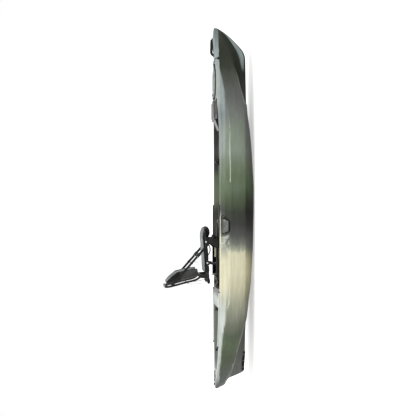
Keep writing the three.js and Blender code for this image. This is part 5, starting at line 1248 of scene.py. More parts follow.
# %% [markdown]
# The gear tracks are extruded channels with rolled lips, closed by a moulded cap at each end and
# screwed down through the floor of the slot. The seat's tracks are the same extrusion.

# %% Gear tracks and skid plate
TRACK_PROFILE = [
    (-15, 0), (15, 0), (15, 7.2), (14.2, 9.2), (12.6, 10), (6, 10), (4.7, 9.2), (4.5, 7.6), (4.5, 6.2),
    (-4.5, 6.2), (-4.5, 7.6), (-4.7, 9.2), (-6, 10), (-12.6, 10), (-14.2, 9.2), (-15, 7.2),
]
CAP_PROFILE = [(-15, 0), (15, 0), (15, 6.5), (11.5, 10), (-11.5, 10), (-15, 6.5)]
CAP_LENGTH = 14


def track(name, rear, front, line, metal=track_metal):
    """A track along a line that gives Y and Z at an X, with its caps and its screws."""
    cuts = [rear + CAP_LENGTH + (front - rear - 2 * CAP_LENGTH) * i / 12 for i in range(13)]
    for side, sign in (("left", 1), ("right", -1)):
        rail = Shape()
        rail.loft([[(x, sign * (line(x)[0] + a), line(x)[1] + b) for a, b in TRACK_PROFILE] for x in cuts])
        rail.done(f"{name}_{side}", metal, "hull", [f"{name}_{side}"])
        caps = Shape()
        for inner, outer in ((cuts[0], rear), (cuts[-1], front)):
            rings = [(inner, 1.0), ((inner + 2 * outer) / 3, 1.0), (outer, 0.86)]
            caps.loft(
                [[(x, sign * (line(x)[0] + a * s), line(x)[1] + b * s) for a, b in CAP_PROFILE] for x, s in rings],
                0.7
            )
        caps.done(f"{name}_caps_{side}", nylon, "hull")
        hull_screws.extend(((x, sign * line(x)[0], line(x)[1] + 6.2), (0, 0, 1)) for x in cuts[1::3])


def on_gunwale(x):
    across, top = gunwale_at(x)
    return across, top + 0.3


track("gear_track_front", -275.6, 30.2, on_gunwale)
track("gear_track_rear", -1351.3, -803.7, on_gunwale, clear_metal)
track("seat_track", -738.9, -144.9, lambda x: (240, 316))

from_solid("keel_skid_plate", 1.4, rubber, "hull")
for skid_x in (-1570, -1507, -1444):
    keel = HULL_HEIGHT * KEEL_HEIGHT(skid_x * MM / HALF_LENGTH) / MM
    reach = HALF_BEAM * KEEL_WIDTH(skid_x * MM / HALF_LENGTH) / MM + 9
    hull_screws.extend(((skid_x, s * reach, keel + 10), (0, s, 0)) for s in (-1, 1))
print("tracks ready,", len(hull_screws), "screws so far")

# %% [markdown]
# The bungee is a braided elastic cord, knotted behind a pad eye on each side and pulled back over a
# mushroom-headed hook. A sweep along the cord's route carries the braid, and a small trefoil is the
# stopper knot.

# %% Bow eyes, hook and bungee
EYE_X, BUNGEE_RADIUS, HOOK_X, HOOK_DECK = 1461.63, 3, 1412.63, 360.94
eye_low = Vector((EYE_X, 178.61, 326.86))
eye_up, eye_out = Vector((0, -0.4218, 0.9067)), Vector((0, 0.9067, 0.4218))
EYE_RISE = 13.34


def on_eye(along, up, out):
    return eye_low + Vector((along, 0, 0)) + eye_up * (EYE_RISE + up) + eye_out * out


def bow_eye(shape):
    shape.turned(on_eye(0, 0, 0), eye_out, [(12.4, 0.3), (13, 1), (12.4, 3.2), (10, 5)], 32)
    arch = [(-9, 0, 3), (-9, 0, 10.5), (-4, 0, 15), (4, 0, 15), (9, 0, 10.5), (9, 0, 3)]
    shape.sweep(spline([on_eye(*p) for p in arch], 40), circle(2.5, 14))


both_sides(bow_eye, "bow_eye", nylon, "hull", ["bow_eye"])
for eye_side in (1, -1):
    for rise in (-8.6, 8.6):
        spot = on_eye(0, rise, 3.9)
        hull_screws.append(((spot.x, spot.y * eye_side, spot.z), (0, eye_out.y * eye_side, eye_out.z)))

hook = Shape()
hook.turned((HOOK_X, 0, HOOK_DECK), (0, 0, 1), [
    (10.4, 0.3), (11, 1), (10.6, 3.4), (8, 5), (4.6, 5.4), (4, 7), (4, 14), (5, 14.8), (8, 15.2), (8, 16.6),
    (6.4, 18),
    (2.4, 18), (2, 16.8),
], 28)
hook.done("bungee_hook", nylon, "hull", ["bungee_hook"])

outer_edge, _, edge_top = (v / MM for v in gunwale(EYE_X * MM / HALF_LENGTH))
over_edge = [
    Vector((EYE_X - inset / 2, outer_edge - inset, edge_top + rise))
    for inset, rise in ((-2.5, 3.4), (1.5, 6), (14, 7.5))
]
hook_side = Vector((HOOK_X - 4 - BUNGEE_RADIUS - 0.3, 0, HOOK_DECK + 9.5))
route = [on_eye(0, up, out) for up, out in ((-8, 9), (3.5, 9.2), (16, 8))] + over_edge
route += [over_edge[-1].lerp(hook_side, share) for share in (0.35, 0.68)]
route.append(hook_side.lerp(over_edge[-1], 11 / over_edge[-1].y) + Vector((1, 0, 0)))
route += [hook_side] + [Vector((p.x, -p.y, p.z)) for p in reversed(route)]
bungee = Shape()
bungee.sweep(spline(route, 260), circle(BUNGEE_RADIUS, 12))
trefoil = [
    Vector((math.sin(t) + 2 * math.sin(2 * t), math.cos(t) - 2 * math.cos(2 * t), -math.sin(3 * t))) * 1.7
    for t in np.linspace(0.25, 2 * math.pi - 0.2, 40)
]
for eye_side in (1, -1):
    centre = on_eye(0, -11, 8)
    bungee.sweep([Vector((centre.x, centre.y * eye_side, centre.z)) + p for p in trefoil], circle(1.9, 8))
bungee.done("bow_bungee", elastic_cord, "hull", ["bow_bungee"])
bungee_length = 2 * sum((a - b).length for a, b in zip(route, route[1:9])) * MM
print("bungee ready:", round(bungee_length, 2), "m between the eyes")

# %% [markdown]
# The hatch has a moulded rim on the deck, a lid with a stepped border and stiffening ribs, and a
# latch that turns under its catch. The lid is a stack of oval rings, which gives the steps.

# %% Bow hatch
HATCH_MM = HATCH_X / MM
RIM_LOW, RIM_TOP = HOOK_DECK + 0.3, HOOK_DECK + 8.3
LID_LOW, LID_TOP = RIM_TOP + 0.3, RIM_TOP + 8.3
RIM_SIZE, LID_SIZE, HATCH_HOLE = (294, 280), (300, 286), (244, 230)
PIN_X, PIN_Z, LATCH_X = 1392.93, 372.24, 1113.93


def oval_ring(size, scale, z):
    return [(HATCH_MM + x, y, z) for x, y in oval(size[0] * scale, size[1] * scale)]


rim = Shape()
inner_ring, outer_ring = oval_ring(HATCH_HOLE, 1, 0), oval_ring(RIM_SIZE, 1, 0)
rim_section = [(0, 0), (1, 0), (1, 5.6), (0.94, 7.3), (0.8, 8), (0.2, 8), (0.06, 7.3), (0, 5.6)]
rim.loft([
    [(mix(a[0], b[0], s), mix(a[1], b[1], s), RIM_LOW + z) for s, z in rim_section]
    for a, b in zip(inner_ring, outer_ring)
], closed=True)
for sign in (1, -1):
    near, far = sorted((sign * 40.3, sign * 52.3))
    rim.block((PIN_X - 23, near, RIM_LOW), (PIN_X + 7, far, RIM_TOP - 1), 1.5)
    rim.rod((PIN_X, sign * 40.3, PIN_Z), (PIN_X, sign * 52.3, PIN_Z), 7)
rim.block((1070.9, -8, RIM_LOW), (1083.4, 8, LID_TOP), 1.6)
rim.block((1070.9, -8, RIM_LOW), (1097.9, 8, RIM_TOP - 1), 1.6)
rim.done("hatch_rim", nylon, "hull", ["hatch_rim"])

pin = Shape()
pin.turned((PIN_X, -54, PIN_Z), (0, 1, 0), [(2, 0), (3, 0.8), (3, 107.2), (2, 108)], 16)
pin.done("hatch_hinge_pin", bolt_steel, "hull", ["hatch_hinge_pin"])

lid = Shape()
lid.loft([oval_ring(LID_SIZE, s, LID_LOW + z) for s, z in (
    (0.97, 0), (0.995, 0.5), (1, 2), (0.998, 4.2), (0.985, 5.6), (0.965, 6.2), (0.9, 6.6), (0.885, 6.3), (0.875, 5),
    (0.855, 5), (0.845, 6.6), (0.82, 7.4), (0.6, 7.7), (0.3, 7.9), (0.02, 8),
)])
for y in (-66, -33, 0, 33, 66):
    lid.block((1150 + 0.12 * abs(y), y - 5, LID_TOP - 3), (1332 - 0.2 * abs(y), y + 5, LID_TOP + 1.4), 1.3)
for knuckle in (-40, -13, 14):
    lid.rod((PIN_X, knuckle, PIN_Z), (PIN_X, knuckle + 26, PIN_Z), 7)
lid.rod((PIN_X, -40, PIN_Z), (PIN_X, 40, PIN_Z), 6.2)
lid.block((PIN_X - 23, -40, LID_LOW), (PIN_X, 40, LID_LOW + 4), 1)
lid.done("hatch_lid", lid_plastic, "hatch_lid", ["hatch_lid"])

latch = Shape()
latch_low = LID_TOP + 0.3
latch.turned(
    (LATCH_X, 0, latch_low), (0, 0, 1),
    [(16.2, 0), (17, 1), (16.6, 4), (15, 6.6), (13.4, 7.6), (6, 8), (5, 7)], 36
)
arm = [(-45, -5), (-42, -8), (0, -8), (0, 8), (-42, 8), (-45, 5)]
latch.plate(arm, lambda a, b, t: (LATCH_X + a, b, latch_low + t), 0, 4.8, 1.2)
for x in (-40, -36, -32):
    latch.block((LATCH_X + x - 1, -6.5, latch_low + 4), (LATCH_X + x + 1, 6.5, latch_low + 5.8), 0.7)
latch.done("hatch_latch", nylon, "hatch_latch", ["hatch_latch"])
print("hatch ready")

# %% [markdown]
# The console is a drop-in box whose flange lies on both gunwales. Its moulding keeps the faces of
# the solid, with every edge rounded, and gets the bead and the finger lift of its lid added.

# %% Console
from_solid("console_box", 2.2, console_plastic, "hull")
from_solid("console_lid", 2.6, console_plastic, "console_lid")
bead = Shape()
loop = [(892, -140), (1024, -140), (1030, -134), (1030, 134), (1024, 140), (892, 140), (884, 130), (884, -130)]
bead.sweep([Vector((x, y, 383.1)) for x, y in loop + loop[:1]], circle(2.2, 10), side=(0, 0, 1))
bead.block((869.5, -24, 376), (880, 24, 380.5), 1.6)
bead.done("console_lid_bead", console_plastic, "console_lid")
print("console ready")

# %% [markdown]
# Each foot brace is a toothed aluminium rail with a moulded pedal that slides on it. The teeth are
# one small block, copied along the rail.

# %% Foot braces
rail_end, rail_run = Vector((350.27, 328.76, 288.75)), Vector((0.9973, -0.0736, 0))
rail_inward = Vector((-0.0736, -0.9973, 0))
PEDAL_AT = Vector((465.73, 320.25, 288.75))
for side, sign in (("left", 1), ("right", -1)):
    from_solid(f"foot_rail_{side}", 1.0, rail_metal, "hull")
    teeth = Shape()
    teeth.block((-2, -5, -0.4), (2, 5, 1.3), 0.5)
    spots = [rail_end + rail_run * (24 + 9 * i) - rail_inward * 7 + Vector((0, 0, 8)) for i in range(33)]
    repeated(
        f"foot_rail_teeth_{side}", teeth.mesh("tooth"), [((p.x, sign * p.y, p.z), (0, 0, 1)) for p in spots],
        rail_metal, "hull",
    )
    for run in (10, 330):
        spot = rail_end + rail_run * run - rail_inward * 1.8
        hull_screws.append(((spot.x, sign * spot.y, spot.z), (rail_inward.x, sign * rail_inward.y, 0)))


def foot_pedal_ribs(shape):
    shift = math.tan(math.radians(12))
    for i in range(9):
        z = -74 + 13 * i
        shape.rod((-21 + shift * (z + 84), 10, z), (-21 + shift * (z + 84), 90, z), 1.9, sides=10, bevel=0.6)
    shape.moved(basis(PEDAL_AT, -rail_run, (0, 0, 1)))


for side in ("left", "right"):
    for name, finish, width in (("foot_pedal", nylon, 1.6), ("foot_lock", nylon_grey, 1.0)):
        from_solid(f"{name}_{side}", width, finish, f"{name}_{side}")
both_sides(foot_pedal_ribs, "foot_pedal_ribs", rubber, "foot_pedal_SIDE")
print("foot braces ready")

# %% [markdown]
# Hooks in the tankwell, the drain plug in the stern deck, and the side handles: two webbing straps
# and a rubber grip that hang in the pocket from a plate with two lugs.

# %% Tankwell hooks, drain plug and side handles
for hook_x, hook_z, wall, end in ((-1022.35, 317.5, 326.84, "front"), (-1422.4, 323.2, 220.3, "rear")):
    for side, sign in (("left", 1), ("right", -1)):
        from_solid(f"tank_hook_{end}_{side}", 0.9, nylon, "hull")
        hull_screws.extend(((hook_x + a, sign * (wall - 6), hook_z), (0, -sign, 0)) for a in (-12, 12))

DRAIN_MM, drain_low = DRAIN_X / MM, 358.86 + 0.6
plug = Shape()
plug.turned((DRAIN_MM, 0, drain_low), (0, 0, 1), [
    (14.2, 0), (15, 0.7), (15, 2.6), (14.4, 4), (13.2, 5), (9, 5), (8.4, 4.2), (0.4, 4.2),
], 40)
thread = [(10.2 if i % 2 else 9.4, -18 + 1.5 * i) for i in range(12)]
plug.turned((DRAIN_MM, 0, drain_low), (0, 0, 1), thread + [(10, 0.4)], 28)
plug.block((DRAIN_MM - 10.5, -3, drain_low + 3), (DRAIN_MM + 10.5, 3, drain_low + 10), 1.4)
plug.done("drain_plug", nylon, "drain_plug", ["drain_plug"])

pocket_at, pocket_up = Vector((-173, 403.94, 315.74)), Vector((0, -0.3523, 0.9359))
pocket_frame = basis(pocket_at, (1, 0, 0), pocket_up)
HANDLE_DROP, STRAP_TOP, STRAP_FOOT = 65.87, 75, 40


def side_handle_grip(shape):
    path = [Vector((-46 + 92 * i / 90, 0, -HANDLE_DROP)) for i in range(91)]
    sizes = ribbed(path, 0.0, 0.1, 9.2, 6)
    sizes[0] = sizes[-1] = 0.8
    shape.sweep(path, circle(9, 24), sizes=sizes)
    shape.moved(pocket_frame)


def side_handle_straps(shape):
    for sign in (1, -1):
        path = []
        for angle in np.linspace(250, 0, 12):
            a = math.radians(angle)
            path.append(Vector((sign * STRAP_TOP, -5.3 * math.cos(a), 5.3 * math.sin(a))))
        low = Vector((sign * STRAP_FOOT, 2, -HANDLE_DROP))
        hanging = [low] + [path[-1].lerp(low, s) for s in (0.8, 0.6, 0.4, 0.2)]
        path = hanging + path[::-1] + [Vector((sign * STRAP_TOP * 0.9, 1.2, -14))]
        shape.sweep(path, rounded_box(11, 2.2, 0.9, 2), side=(1, 0, 0))
    shape.moved(pocket_frame)


def side_handle_panel(shape):
    """The grey sheet between the straps, with a padded middle, from the plate to the grip."""
    outline = [(-72, -9), (72, -9), (58, -30), (46, -HANDLE_DROP + 6), (-46, -HANDLE_DROP + 6), (-58, -30)]
    shape.plate(outline, upright, 0.6, 2.6, 0.8)
    shape.plate([(x * 0.7, z * 0.72 - 9) for x, z in outline], upright, 2.2, 4.4, 1.2)
    shape.moved(pocket_frame)


both_sides(side_handle_panel, "side_handle_panel", panel_rubber, "side_handle_SIDE")
for side in ("left", "right"):
    from_solid(f"side_handle_plate_{side}", 0.8, panel_rubber, "hull")
both_sides(side_handle_grip, "side_handle", rubber, "side_handle_SIDE", ["side_handle"])
both_sides(side_handle_straps, "side_handle_strap", strap_webbing, "side_handle_SIDE")
repeated("hull_screws", screw_mesh, hull_screws, bolt_steel, "hull")
print("hull fittings ready:", len(hull_screws), "screws")

# %% [markdown]
# The seat's frame is round aluminium tube with plugged ends. Two runners slide on the ledge tracks,
# four links lift the upper frame off them, and the backrest turns on a hub behind the upper frame.

# %% Seat frame lines
SEAT = Vector((-344.932, 0, 357.3))
LEG_RUN = Vector((math.sin(math.radians(8)), 0, math.cos(math.radians(8))))
RAIL_RUN = Vector((math.cos(math.radians(4)), 0, math.sin(math.radians(4))))
RAIL_UP = Vector((-RAIL_RUN.z, 0, RAIL_RUN.x))
BACK_FORWARD = Vector((math.cos(math.radians(15)), 0, math.sin(math.radians(15))))
BACK_RUN = Vector((-BACK_FORWARD.z, 0, BACK_FORWARD.x))
LEG_LENGTH, LEG_SPREAD, TUBE_RADIUS = 107, 205, 11
RUNNER_SPAN, RAIL_SPAN, BACK_SPAN, STRAP_SPAN = 240, 205, 188, 221
LEG_IN, LEG_OUT = 217.5, 227.5
FRONT_LOW, REAR_LOW = SEAT, SEAT - RAIL_RUN * LEG_SPREAD


def at_y(point, y):
    return Vector((point.x, y, point.z))


def on_rail(along, up=0.0, y=0.0):
    """A point beside the seat rail's middle line, counted from the front leg's upper pivot."""
    return at_y(SEAT + LEG_RUN * LEG_LENGTH + RAIL_RUN * along + RAIL_UP * up, y)


HUB = on_rail(-333) + Vector((0, 0, 72.6))


def on_back(forward, up, y=0.0):
    return at_y(HUB + BACK_FORWARD * forward + BACK_RUN * up, y)


def plug_tube(shape, start, end, radius, plugs=2):
    """The moulded plugs in the ends of a tube: a rim, and a domed face."""
    for tip, other in ((start, end), (end, start))[:plugs]:
        out = (tip - other).normalized()
        shape.turned(
            tip - out * 9, out,
            [(radius + 0.5, 0), (radius + 0.5, 7), (radius - 1, 8.8), (radius * 0.5, 9.6), (0.5, 9.8)], 28
        )


def stadium(length, radius, steps=10):
    """A bar with round ends, from its first centre at zero to its second at a length."""
    arcs = [(length, -90), (0, 90)]
    turns = [(x, math.radians(start + 180 * i / steps)) for x, start in arcs for i in range(steps + 1)]
    return [(x + radius * math.cos(a), radius * math.sin(a)) for x, a in turns]


# %% [markdown]
# Runners, shoes and links. Each shoe is a nylon block that hooks round its track, and the pivots are
# bolts with domed heads.

# %% Seat base and links
SHOE_LOW, SHOE_HEIGHT, SHOE_HALF, TRACK_GAP = 326.3, 34, 22, 15.5


def runner_ends(y=RUNNER_SPAN):
    return at_y(SEAT, y) + Vector((-330, 0, 0)), at_y(SEAT, y) + Vector((75, 0, 0))


def seat_runner(shape):
    shape.rod(*runner_ends(), TUBE_RADIUS, sides=32)
    for pivot in (FRONT_LOW, REAR_LOW):
        shape.rod(at_y(pivot, LEG_OUT + 0.5), at_y(pivot, RUNNER_SPAN), 10)


def seat_shoes(shape):
    for rear, front in ((FRONT_LOW.x - 45, FRONT_LOW.x + 45), (REAR_LOW.x - 106, REAR_LOW.x + 58)):
        inner, outer = RUNNER_SPAN - SHOE_HALF, RUNNER_SPAN + SHOE_HALF
        shape.block((rear, inner, SHOE_LOW), (front, outer, SHOE_LOW + 4), 1.2)
        shape.block((rear, LEG_OUT + 0.8, SHOE_LOW), (front, outer - 4, SHOE_LOW + SHOE_HEIGHT), 4, 3)
        for low, high in ((inner, RUNNER_SPAN - TRACK_GAP), (RUNNER_SPAN + TRACK_GAP, outer)):
            shape.block((rear, low, SHOE_LOW - 7), (front, high, SHOE_LOW + 2), 1.2)
        for x in np.linspace(rear + 16, front - 16, 4):
            shape.block((x - 2.5, outer - 5, SHOE_LOW + 3), (x + 2.5, outer - 2.2, SHOE_LOW + SHOE_HEIGHT - 7), 0.9)
    plug_tube(shape, *runner_ends(), TUBE_RADIUS)


def front_tower(shape):
    """The bracket over a runner at the front link: two ribbed cheeks with a bridge."""
    outline = [
        (-396, 349), (-290, 349), (-290, 382), (-287, 420), (-298, 437), (-318, 441), (-342, 436),
        (-356, 408), (-378, 380), (-394, 366)
    ]
    for low, high in ((228.6, 232.6), (246.5, 251)):
        shape.plate(outline, upright, low, high, 1.3)
    shape.plate([(x, z - 3) for x, z in outline[3:8]] + [(-340, 384), (-302, 380)], upright, 232, 247, 0.8)
    for x in (-384, -366, -306):
        shape.rod((x, 246, 361), (x, 252.4, 361), 4.4, sides=14)


def slide_knob(shape):
    """The lobed knob that clamps the starboard runner, on a stem in front of its tower."""
    foot = Vector((-281, -RUNNER_SPAN, SEAT.z))
    shape.turned(foot, (0, 0, 1), [(9, 9), (9, 14), (6, 16), (6, 20)], 20)
    turns = np.linspace(0, 2 * math.pi, 48, endpoint=False)
    rings = []
    for radius, height in (
        (9, 18), (18, 19.5), (22, 25), (22.5, 36), (22, 45), (18, 51), (11, 54.4), (5, 55), (1, 54)
    ):
        lobes = [(a, radius * (1 + 0.09 * math.cos(6 * a))) for a in turns]
        rings.append([foot + Vector((r * math.cos(a), r * math.sin(a), height)) for a, r in lobes])
    shape.loft(rings)


def seat_leg(low):
    side = Vector((LEG_RUN.z, 0, -LEG_RUN.x))

    def beside(origin, start):
        return lambda a, b, y: at_y(origin + LEG_RUN * (a + start) + side * b, y)

    def build(shape):
        for radius, length, start in ((9, LEG_LENGTH, 0), (10, 0.2, 0), (10, 0.2, LEG_LENGTH)):
            shape.plate(stadium(length, radius), beside(low, start), LEG_IN, LEG_OUT, 1.4)
        middle = low + LEG_RUN * (LEG_LENGTH / 2)
        shape.plate(stadium(34, 3.5), beside(middle, -17), LEG_IN + 1, LEG_OUT + 0.9, 0.8)

    return build


def cross_tube(name, middle, reach, radius, collar, share, body, sides=32):
    """A tube across the boat, with a collar at each end that reaches in to a share of its length."""
    cross = Shape()
    cross.rod(at_y(middle, -reach), at_y(middle, reach), radius, sides=sides)
    for y in (-reach, reach):
        cross.rod(at_y(middle, y), at_y(middle, y * share), collar, sides=sides, bevel=1.6)
    cross.done(name, tube_paint, body, [name])


def strap_peg(shape, peg, inner):
    """The peg that a recline strap hangs on, from a tube out to its domed head."""
    shape.rod(at_y(peg, inner), at_y(peg, PEG_REACH), 5)
    shape.turned(at_y(peg, PEG_REACH - 1), (0, 1, 0), [(5, 0), (8, 0.5), (8, 2), (5.5, 3.4), (1, 3.8)], 20)


def pivot_bolts(pivots, inner, outer):
    """Domed bolt heads: inside the links at the lower pivots, outside them at the upper ones."""

    def build(shape):
        for pivot, at, out in pivots:
            shape.turned(
                at_y(pivot, at), (0, out, 0),
                [(8.4, -0.2), (8.4, 1.0), (6.6, 1.2), (6, 2.6), (3.6, 3.8), (2.6, 3.9), (2.3, 2.6)], 24
            )
            shape.rod(at_y(pivot, inner), at_y(pivot, outer), 5)

    return build


top_front, top_rear = FRONT_LOW + LEG_RUN * LEG_LENGTH, REAR_LOW + LEG_RUN * LEG_LENGTH
both_sides(seat_runner, "seat_runner", tube_paint, "seat_base", ["seat_runner"])
both_sides(seat_shoes, "seat_shoes", nylon, "seat_base")
both_sides(front_tower, "front_tower", nylon, "seat_base")
knob = Shape()
slide_knob(knob)
knob.done("slide_knob", nylon, "seat_base")
both_sides(
    pivot_bolts([(p, LEG_IN - 0.5, -1) for p in (FRONT_LOW, REAR_LOW)], LEG_IN - 0.5, RUNNER_SPAN),
    "lower_pivot_bolts",
    bolt_steel, "seat_base",
)
for end, x in (("front", 61), ("rear", -316)):
    cross_tube(f"runner_cross_{end}", SEAT + Vector((x, 0, 0)), 228.7, 9, 10.4, 0.955, "seat_base")
for end, low in (("front", FRONT_LOW), ("rear", REAR_LOW)):
    both_sides(seat_leg(low), f"{end}_leg", tube_paint, f"{end}_legs", [f"{end}_leg"])
    middle = low + LEG_RUN * (LEG_LENGTH * 0.3)
    cross_tube(f"{end}_leg_cross", middle, 217.2, 7, 8.6, 0.96, f"{end}_legs", 28)
print("seat base ready")

# %% [markdown]
# The upper frame and the backrest's frame. The uprights are bent tube with a hub at the foot, and
# moulded corners join them to the arched top tube.

# %% Upper frame and backrest frame
BACK_LINE = [(0, 0), (-8, 12.8), (-22, 46.7), (-22, 159.1), (-22, 286.5), (-18, 339.5), (-8, 365)]
PEG_UP, PEG_ALONG, PEG_REACH = 305, -42, 226


def rail_ends(y=RAIL_SPAN):
    return on_rail(-407, 0, y), on_rail(140, 0, y)


def seat_rail(shape):
    bend = [(90, RAIL_SPAN), (106, 201), (119, 190), (125, 175), (126, 160)]
    path = spline([on_rail(a, 0, y) for a, y in bend], 24)
    straight = [rail_ends()[0], on_rail(30, 0, RAIL_SPAN), on_rail(80, 0, RAIL_SPAN)]
    shape.sweep(straight + path, circle(TUBE_RADIUS, 32), side=RAIL_UP)
    for pivot in (top_front, top_rear):
        shape.rod(at_y(pivot, RAIL_SPAN), at_y(pivot, LEG_IN - 0.5), 10)
    foot = on_rail(-333)
    arch = [(foot.x - 25, foot.z), (foot.x + 25, foot.z)]
    arch += [(HUB.x + 18 * math.cos(a), HUB.z + 18 * math.sin(a)) for a in np.linspace(0, math.pi, 17)]
    shape.plate(arch, upright, 198.8, 206.8, 1.6)
    shape.plate(
        [(mix(HUB.x, x, 0.52), mix(mix(HUB.z, foot.z, 0.45), z, 0.42)) for x, z in arch],
        upright, 205, 208.2, 1.0,
    )
    shape.rod(at_y(HUB, 177.5), at_y(HUB, 201), 5)
    shape.turned(at_y(HUB, 206.8), (0, 1, 0), [(9, -0.4), (9, 1.2), (7, 1.6), (6, 3.4), (3.4, 4.4), (2.6, 3)], 24)
    strap_peg(shape, on_rail(PEG_ALONG), RAIL_SPAN)


def rail_plugs(shape):
    plug_tube(shape, *rail_ends(), TUBE_RADIUS, plugs=1)


def rail_bracket(shape):
    """The moulded saddle under a rail that carries the front link's upper pivot."""
    outline = [(-54, -6), (48, -6), (40, -24), (22, -36), (-6, -38), (-34, -30)]
    shape.plate(outline, on_rail, 204.4, 216.2, 1.6)
    for a in (-38, 34):
        shape.rod(on_rail(a, -16, 215), on_rail(a, -16, 217.4), 4.2, sides=14)
    rear = [(a - LEG_SPREAD, b) for a, b in ((-26, -6), (26, -6), (20, -20), (-20, -20))]
    shape.plate(rear, on_rail, 204.4, 216.2, 1.6)


def lift_strap(shape):
    """A short webbing loop that hangs under a rail, to pull the seat up by."""
    ends = [on_rail(a, b, 211) for a, b in ((-136, -6), (-112, -25), (-84, -35), (-58, -35), (-34, -30))]
    shape.sweep(spline(ends, 36), rounded_box(5, 11, 1.5, 2), side=(0, 1, 0))


def back_upright(shape):
    path = spline([on_back(a, b, BACK_SPAN) for a, b in BACK_LINE], 60)
    shape.sweep(path, circle(10, 28), side=(0, 1, 0))
    shape.turned(at_y(HUB, 178), (0, 1, 0), [(18.4, 0), (20, 1.6), (20, 18.4), (18.4, 20)], 44)
    for at, out in ((178, -1), (198, 1)):
        shape.turned(at_y(HUB, at), (0, out, 0), [(14.5, -0.3), (14.5, 0.25), (9, 0.35)], 36)
    strap_peg(shape, on_back(-22, PEG_UP), BACK_SPAN)


def back_corner(shape):
    """The moulded corner over the joint of an upright and the top tube."""
    path = spline(
        [on_back(-18.2, 339, BACK_SPAN), on_back(-11, 354, BACK_SPAN), on_back(-9, 358, BACK_SPAN - 1)], 14
    )
    shape.sweep(path, circle(11.6, 28), side=(0, 1, 0), sizes=[0.93] + [1] * 12 + [0.9])
    shape.rod(on_back(-11, 352.2, BACK_SPAN - 9), on_back(-11, 352.4, BACK_SPAN - 30), 11.4, 10.8, bevel=1.5)


both_sides(seat_rail, "seat_rail", tube_paint, "seat_frame", ["seat_rail"])
both_sides(rail_plugs, "rail_plugs", nylon, "seat_frame")
both_sides(rail_bracket, "rail_bracket", nylon, "seat_frame")
both_sides(lift_strap, "lift_strap", strap_webbing, "seat_frame")
both_sides(
    pivot_bolts([(p, LEG_OUT + 0.5, 1) for p in (top_front, top_rear)], RAIL_SPAN, LEG_OUT + 0.5),
    "upper_pivot_bolts",
    bolt_steel, "seat_frame",
)
for end, along, reach in (("front", 126, 168), ("rear", -393, 193.7)):
    cross_tube(f"seat_cross_{end}", on_rail(along), reach, 9, 10.4, 0.95, "seat_frame")
both_sides(back_upright, "back_upright", tube_paint, "backrest", ["back_upright"])
both_sides(back_corner, "back_corner", nylon, "backrest")
top = Shape()
arch = [(-177.7, 352), (-152.8, 352), (0, 363), (152.8, 352), (177.7, 352)]
top.sweep(spline([on_back(-11, z, y) for y, z in arch], 70), circle(10, 28), side=(0, 0, 1))
top.done("back_top_tube", tube_paint, "backrest", ["back_top_tube"])
low_bar = Shape()
low_bar.rod(on_back(11, 0, -177), on_back(11, 0, 177), 8, sides=28)
low_bar.done("back_bottom_tube", tube_paint, "backrest", ["back_bottom_tube"])
print("seat frame ready")

# %% [markdown]
# The pads are foam in a sleeve of spacer mesh. They are made as upholstery is: a cut shape a little
# smaller than the finished one, blown up by a cloth simulation, then pulled in along the sewn
# channels and bound along the edge. The simulation swells each point by a few millimetres at most.

# %% Padding
from mathutils.bvhtree import BVHTree

VOXEL, PAD_INSET, SWELL = 0.005, 2, 0.006


def puffed(name, rings, settle):
    """A pad blown up from its rings. settle says where a point may end, given in millimetres."""
    shape = Shape()
    shape.loft(rings)
    made = held(name, shape.mesh(name))
    remesh = made.modifiers.new("remesh", "REMESH")
    remesh.mode, remesh.voxel_size = "VOXEL", VOXEL
    mesh = applied(made)
    before = np.array([v.co[:] for v in mesh.vertices])
    after = before
    made = held(name, mesh)
    cloth = made.modifiers.new("cloth", "CLOTH")
    cloth.settings.use_pressure, cloth.settings.uniform_pressure_force = True, 4
    cloth.settings.effector_weights.gravity = 0
    cloth.settings.quality = 4
    cloth.point_cache.frame_start, cloth.point_cache.frame_end = 1, 20
    for step in range(1, 21):
        bpy.context.scene.frame_set(step)
    mesh = applied(made)
    after = np.array([v.co[:] for v in mesh.vertices])
    bpy.context.scene.frame_set(1)
    move = after - before
    far = np.linalg.norm(move, axis=1, keepdims=True)
    move *= np.minimum(1, SWELL / np.maximum(far, 1e-9))
    for vertex, place in zip(mesh.vertices, before + move):
        vertex.co = settle(Vector(place) / MM) * MM
    made = held(name, mesh)
    smooth = made.modifiers.new("subdivision", "SUBSURF")
    smooth.levels = smooth.render_levels = 1
    mesh = applied(made)
    swell = float(np.linalg.norm(move, axis=1).max()) / MM
    print(name, "swells by up to", round(swell, 1), "mm,", len(mesh.polygons), "faces")
    return mesh


def pressed(mesh, depth_at):
    """Pulls the pad in along its channels: each point moves against its normal by a depth in millimetres."""
    moved = [v.co - v.normal * (depth_at(v.co / MM, v.normal) * MM) for v in mesh.vertices]
    for vertex, place in zip(mesh.vertices, moved):
        vertex.co = place
    mesh.update()


def two_tone(mesh, name, body, node, finishes, inside):
    """A pad with more than one fabric: inside gives the number of each face's finish."""
    mesh.update()
    pick = [int(inside(f.center / MM, f.normal)) for f in mesh.polygons]
    made = piece(name, mesh, finishes[0], body, [node])
    for finish in finishes[1:]:
        mesh.materials.append(finish)
    mesh.polygons.foreach_set("material_index", pick)
    return made


def skin_of(mesh):
    return BVHTree.FromPolygons([v.co for v in mesh.vertices], [f.vertices[:] for f in mesh.polygons])


def on_skin(mesh, loop):
    """A closed line moved on to a pad's skin, and evened out a little."""
    tree, places = skin_of(mesh), []
    for point in loop:
        place, normal, _, _ = tree.find_nearest(point * MM)
        places.append(place / MM + normal * 0.6)
    for _ in range(3):
        places = [
            (a + b * 2 + c) / 4 for a, b, c in zip(places[-1:] + places[:-1], places, places[1:] + places[:1])
        ]
    return places


stitch = Shape()
stitch.turned((0, 0, 0), (0, 0, 1), [(0.25, -2.1), (0.55, -1.3), (0.55, 1.3), (0.25, 2.1)], 6)
stitch_mesh = stitch.mesh("stitch")


STITCH_PITCH = 6.5


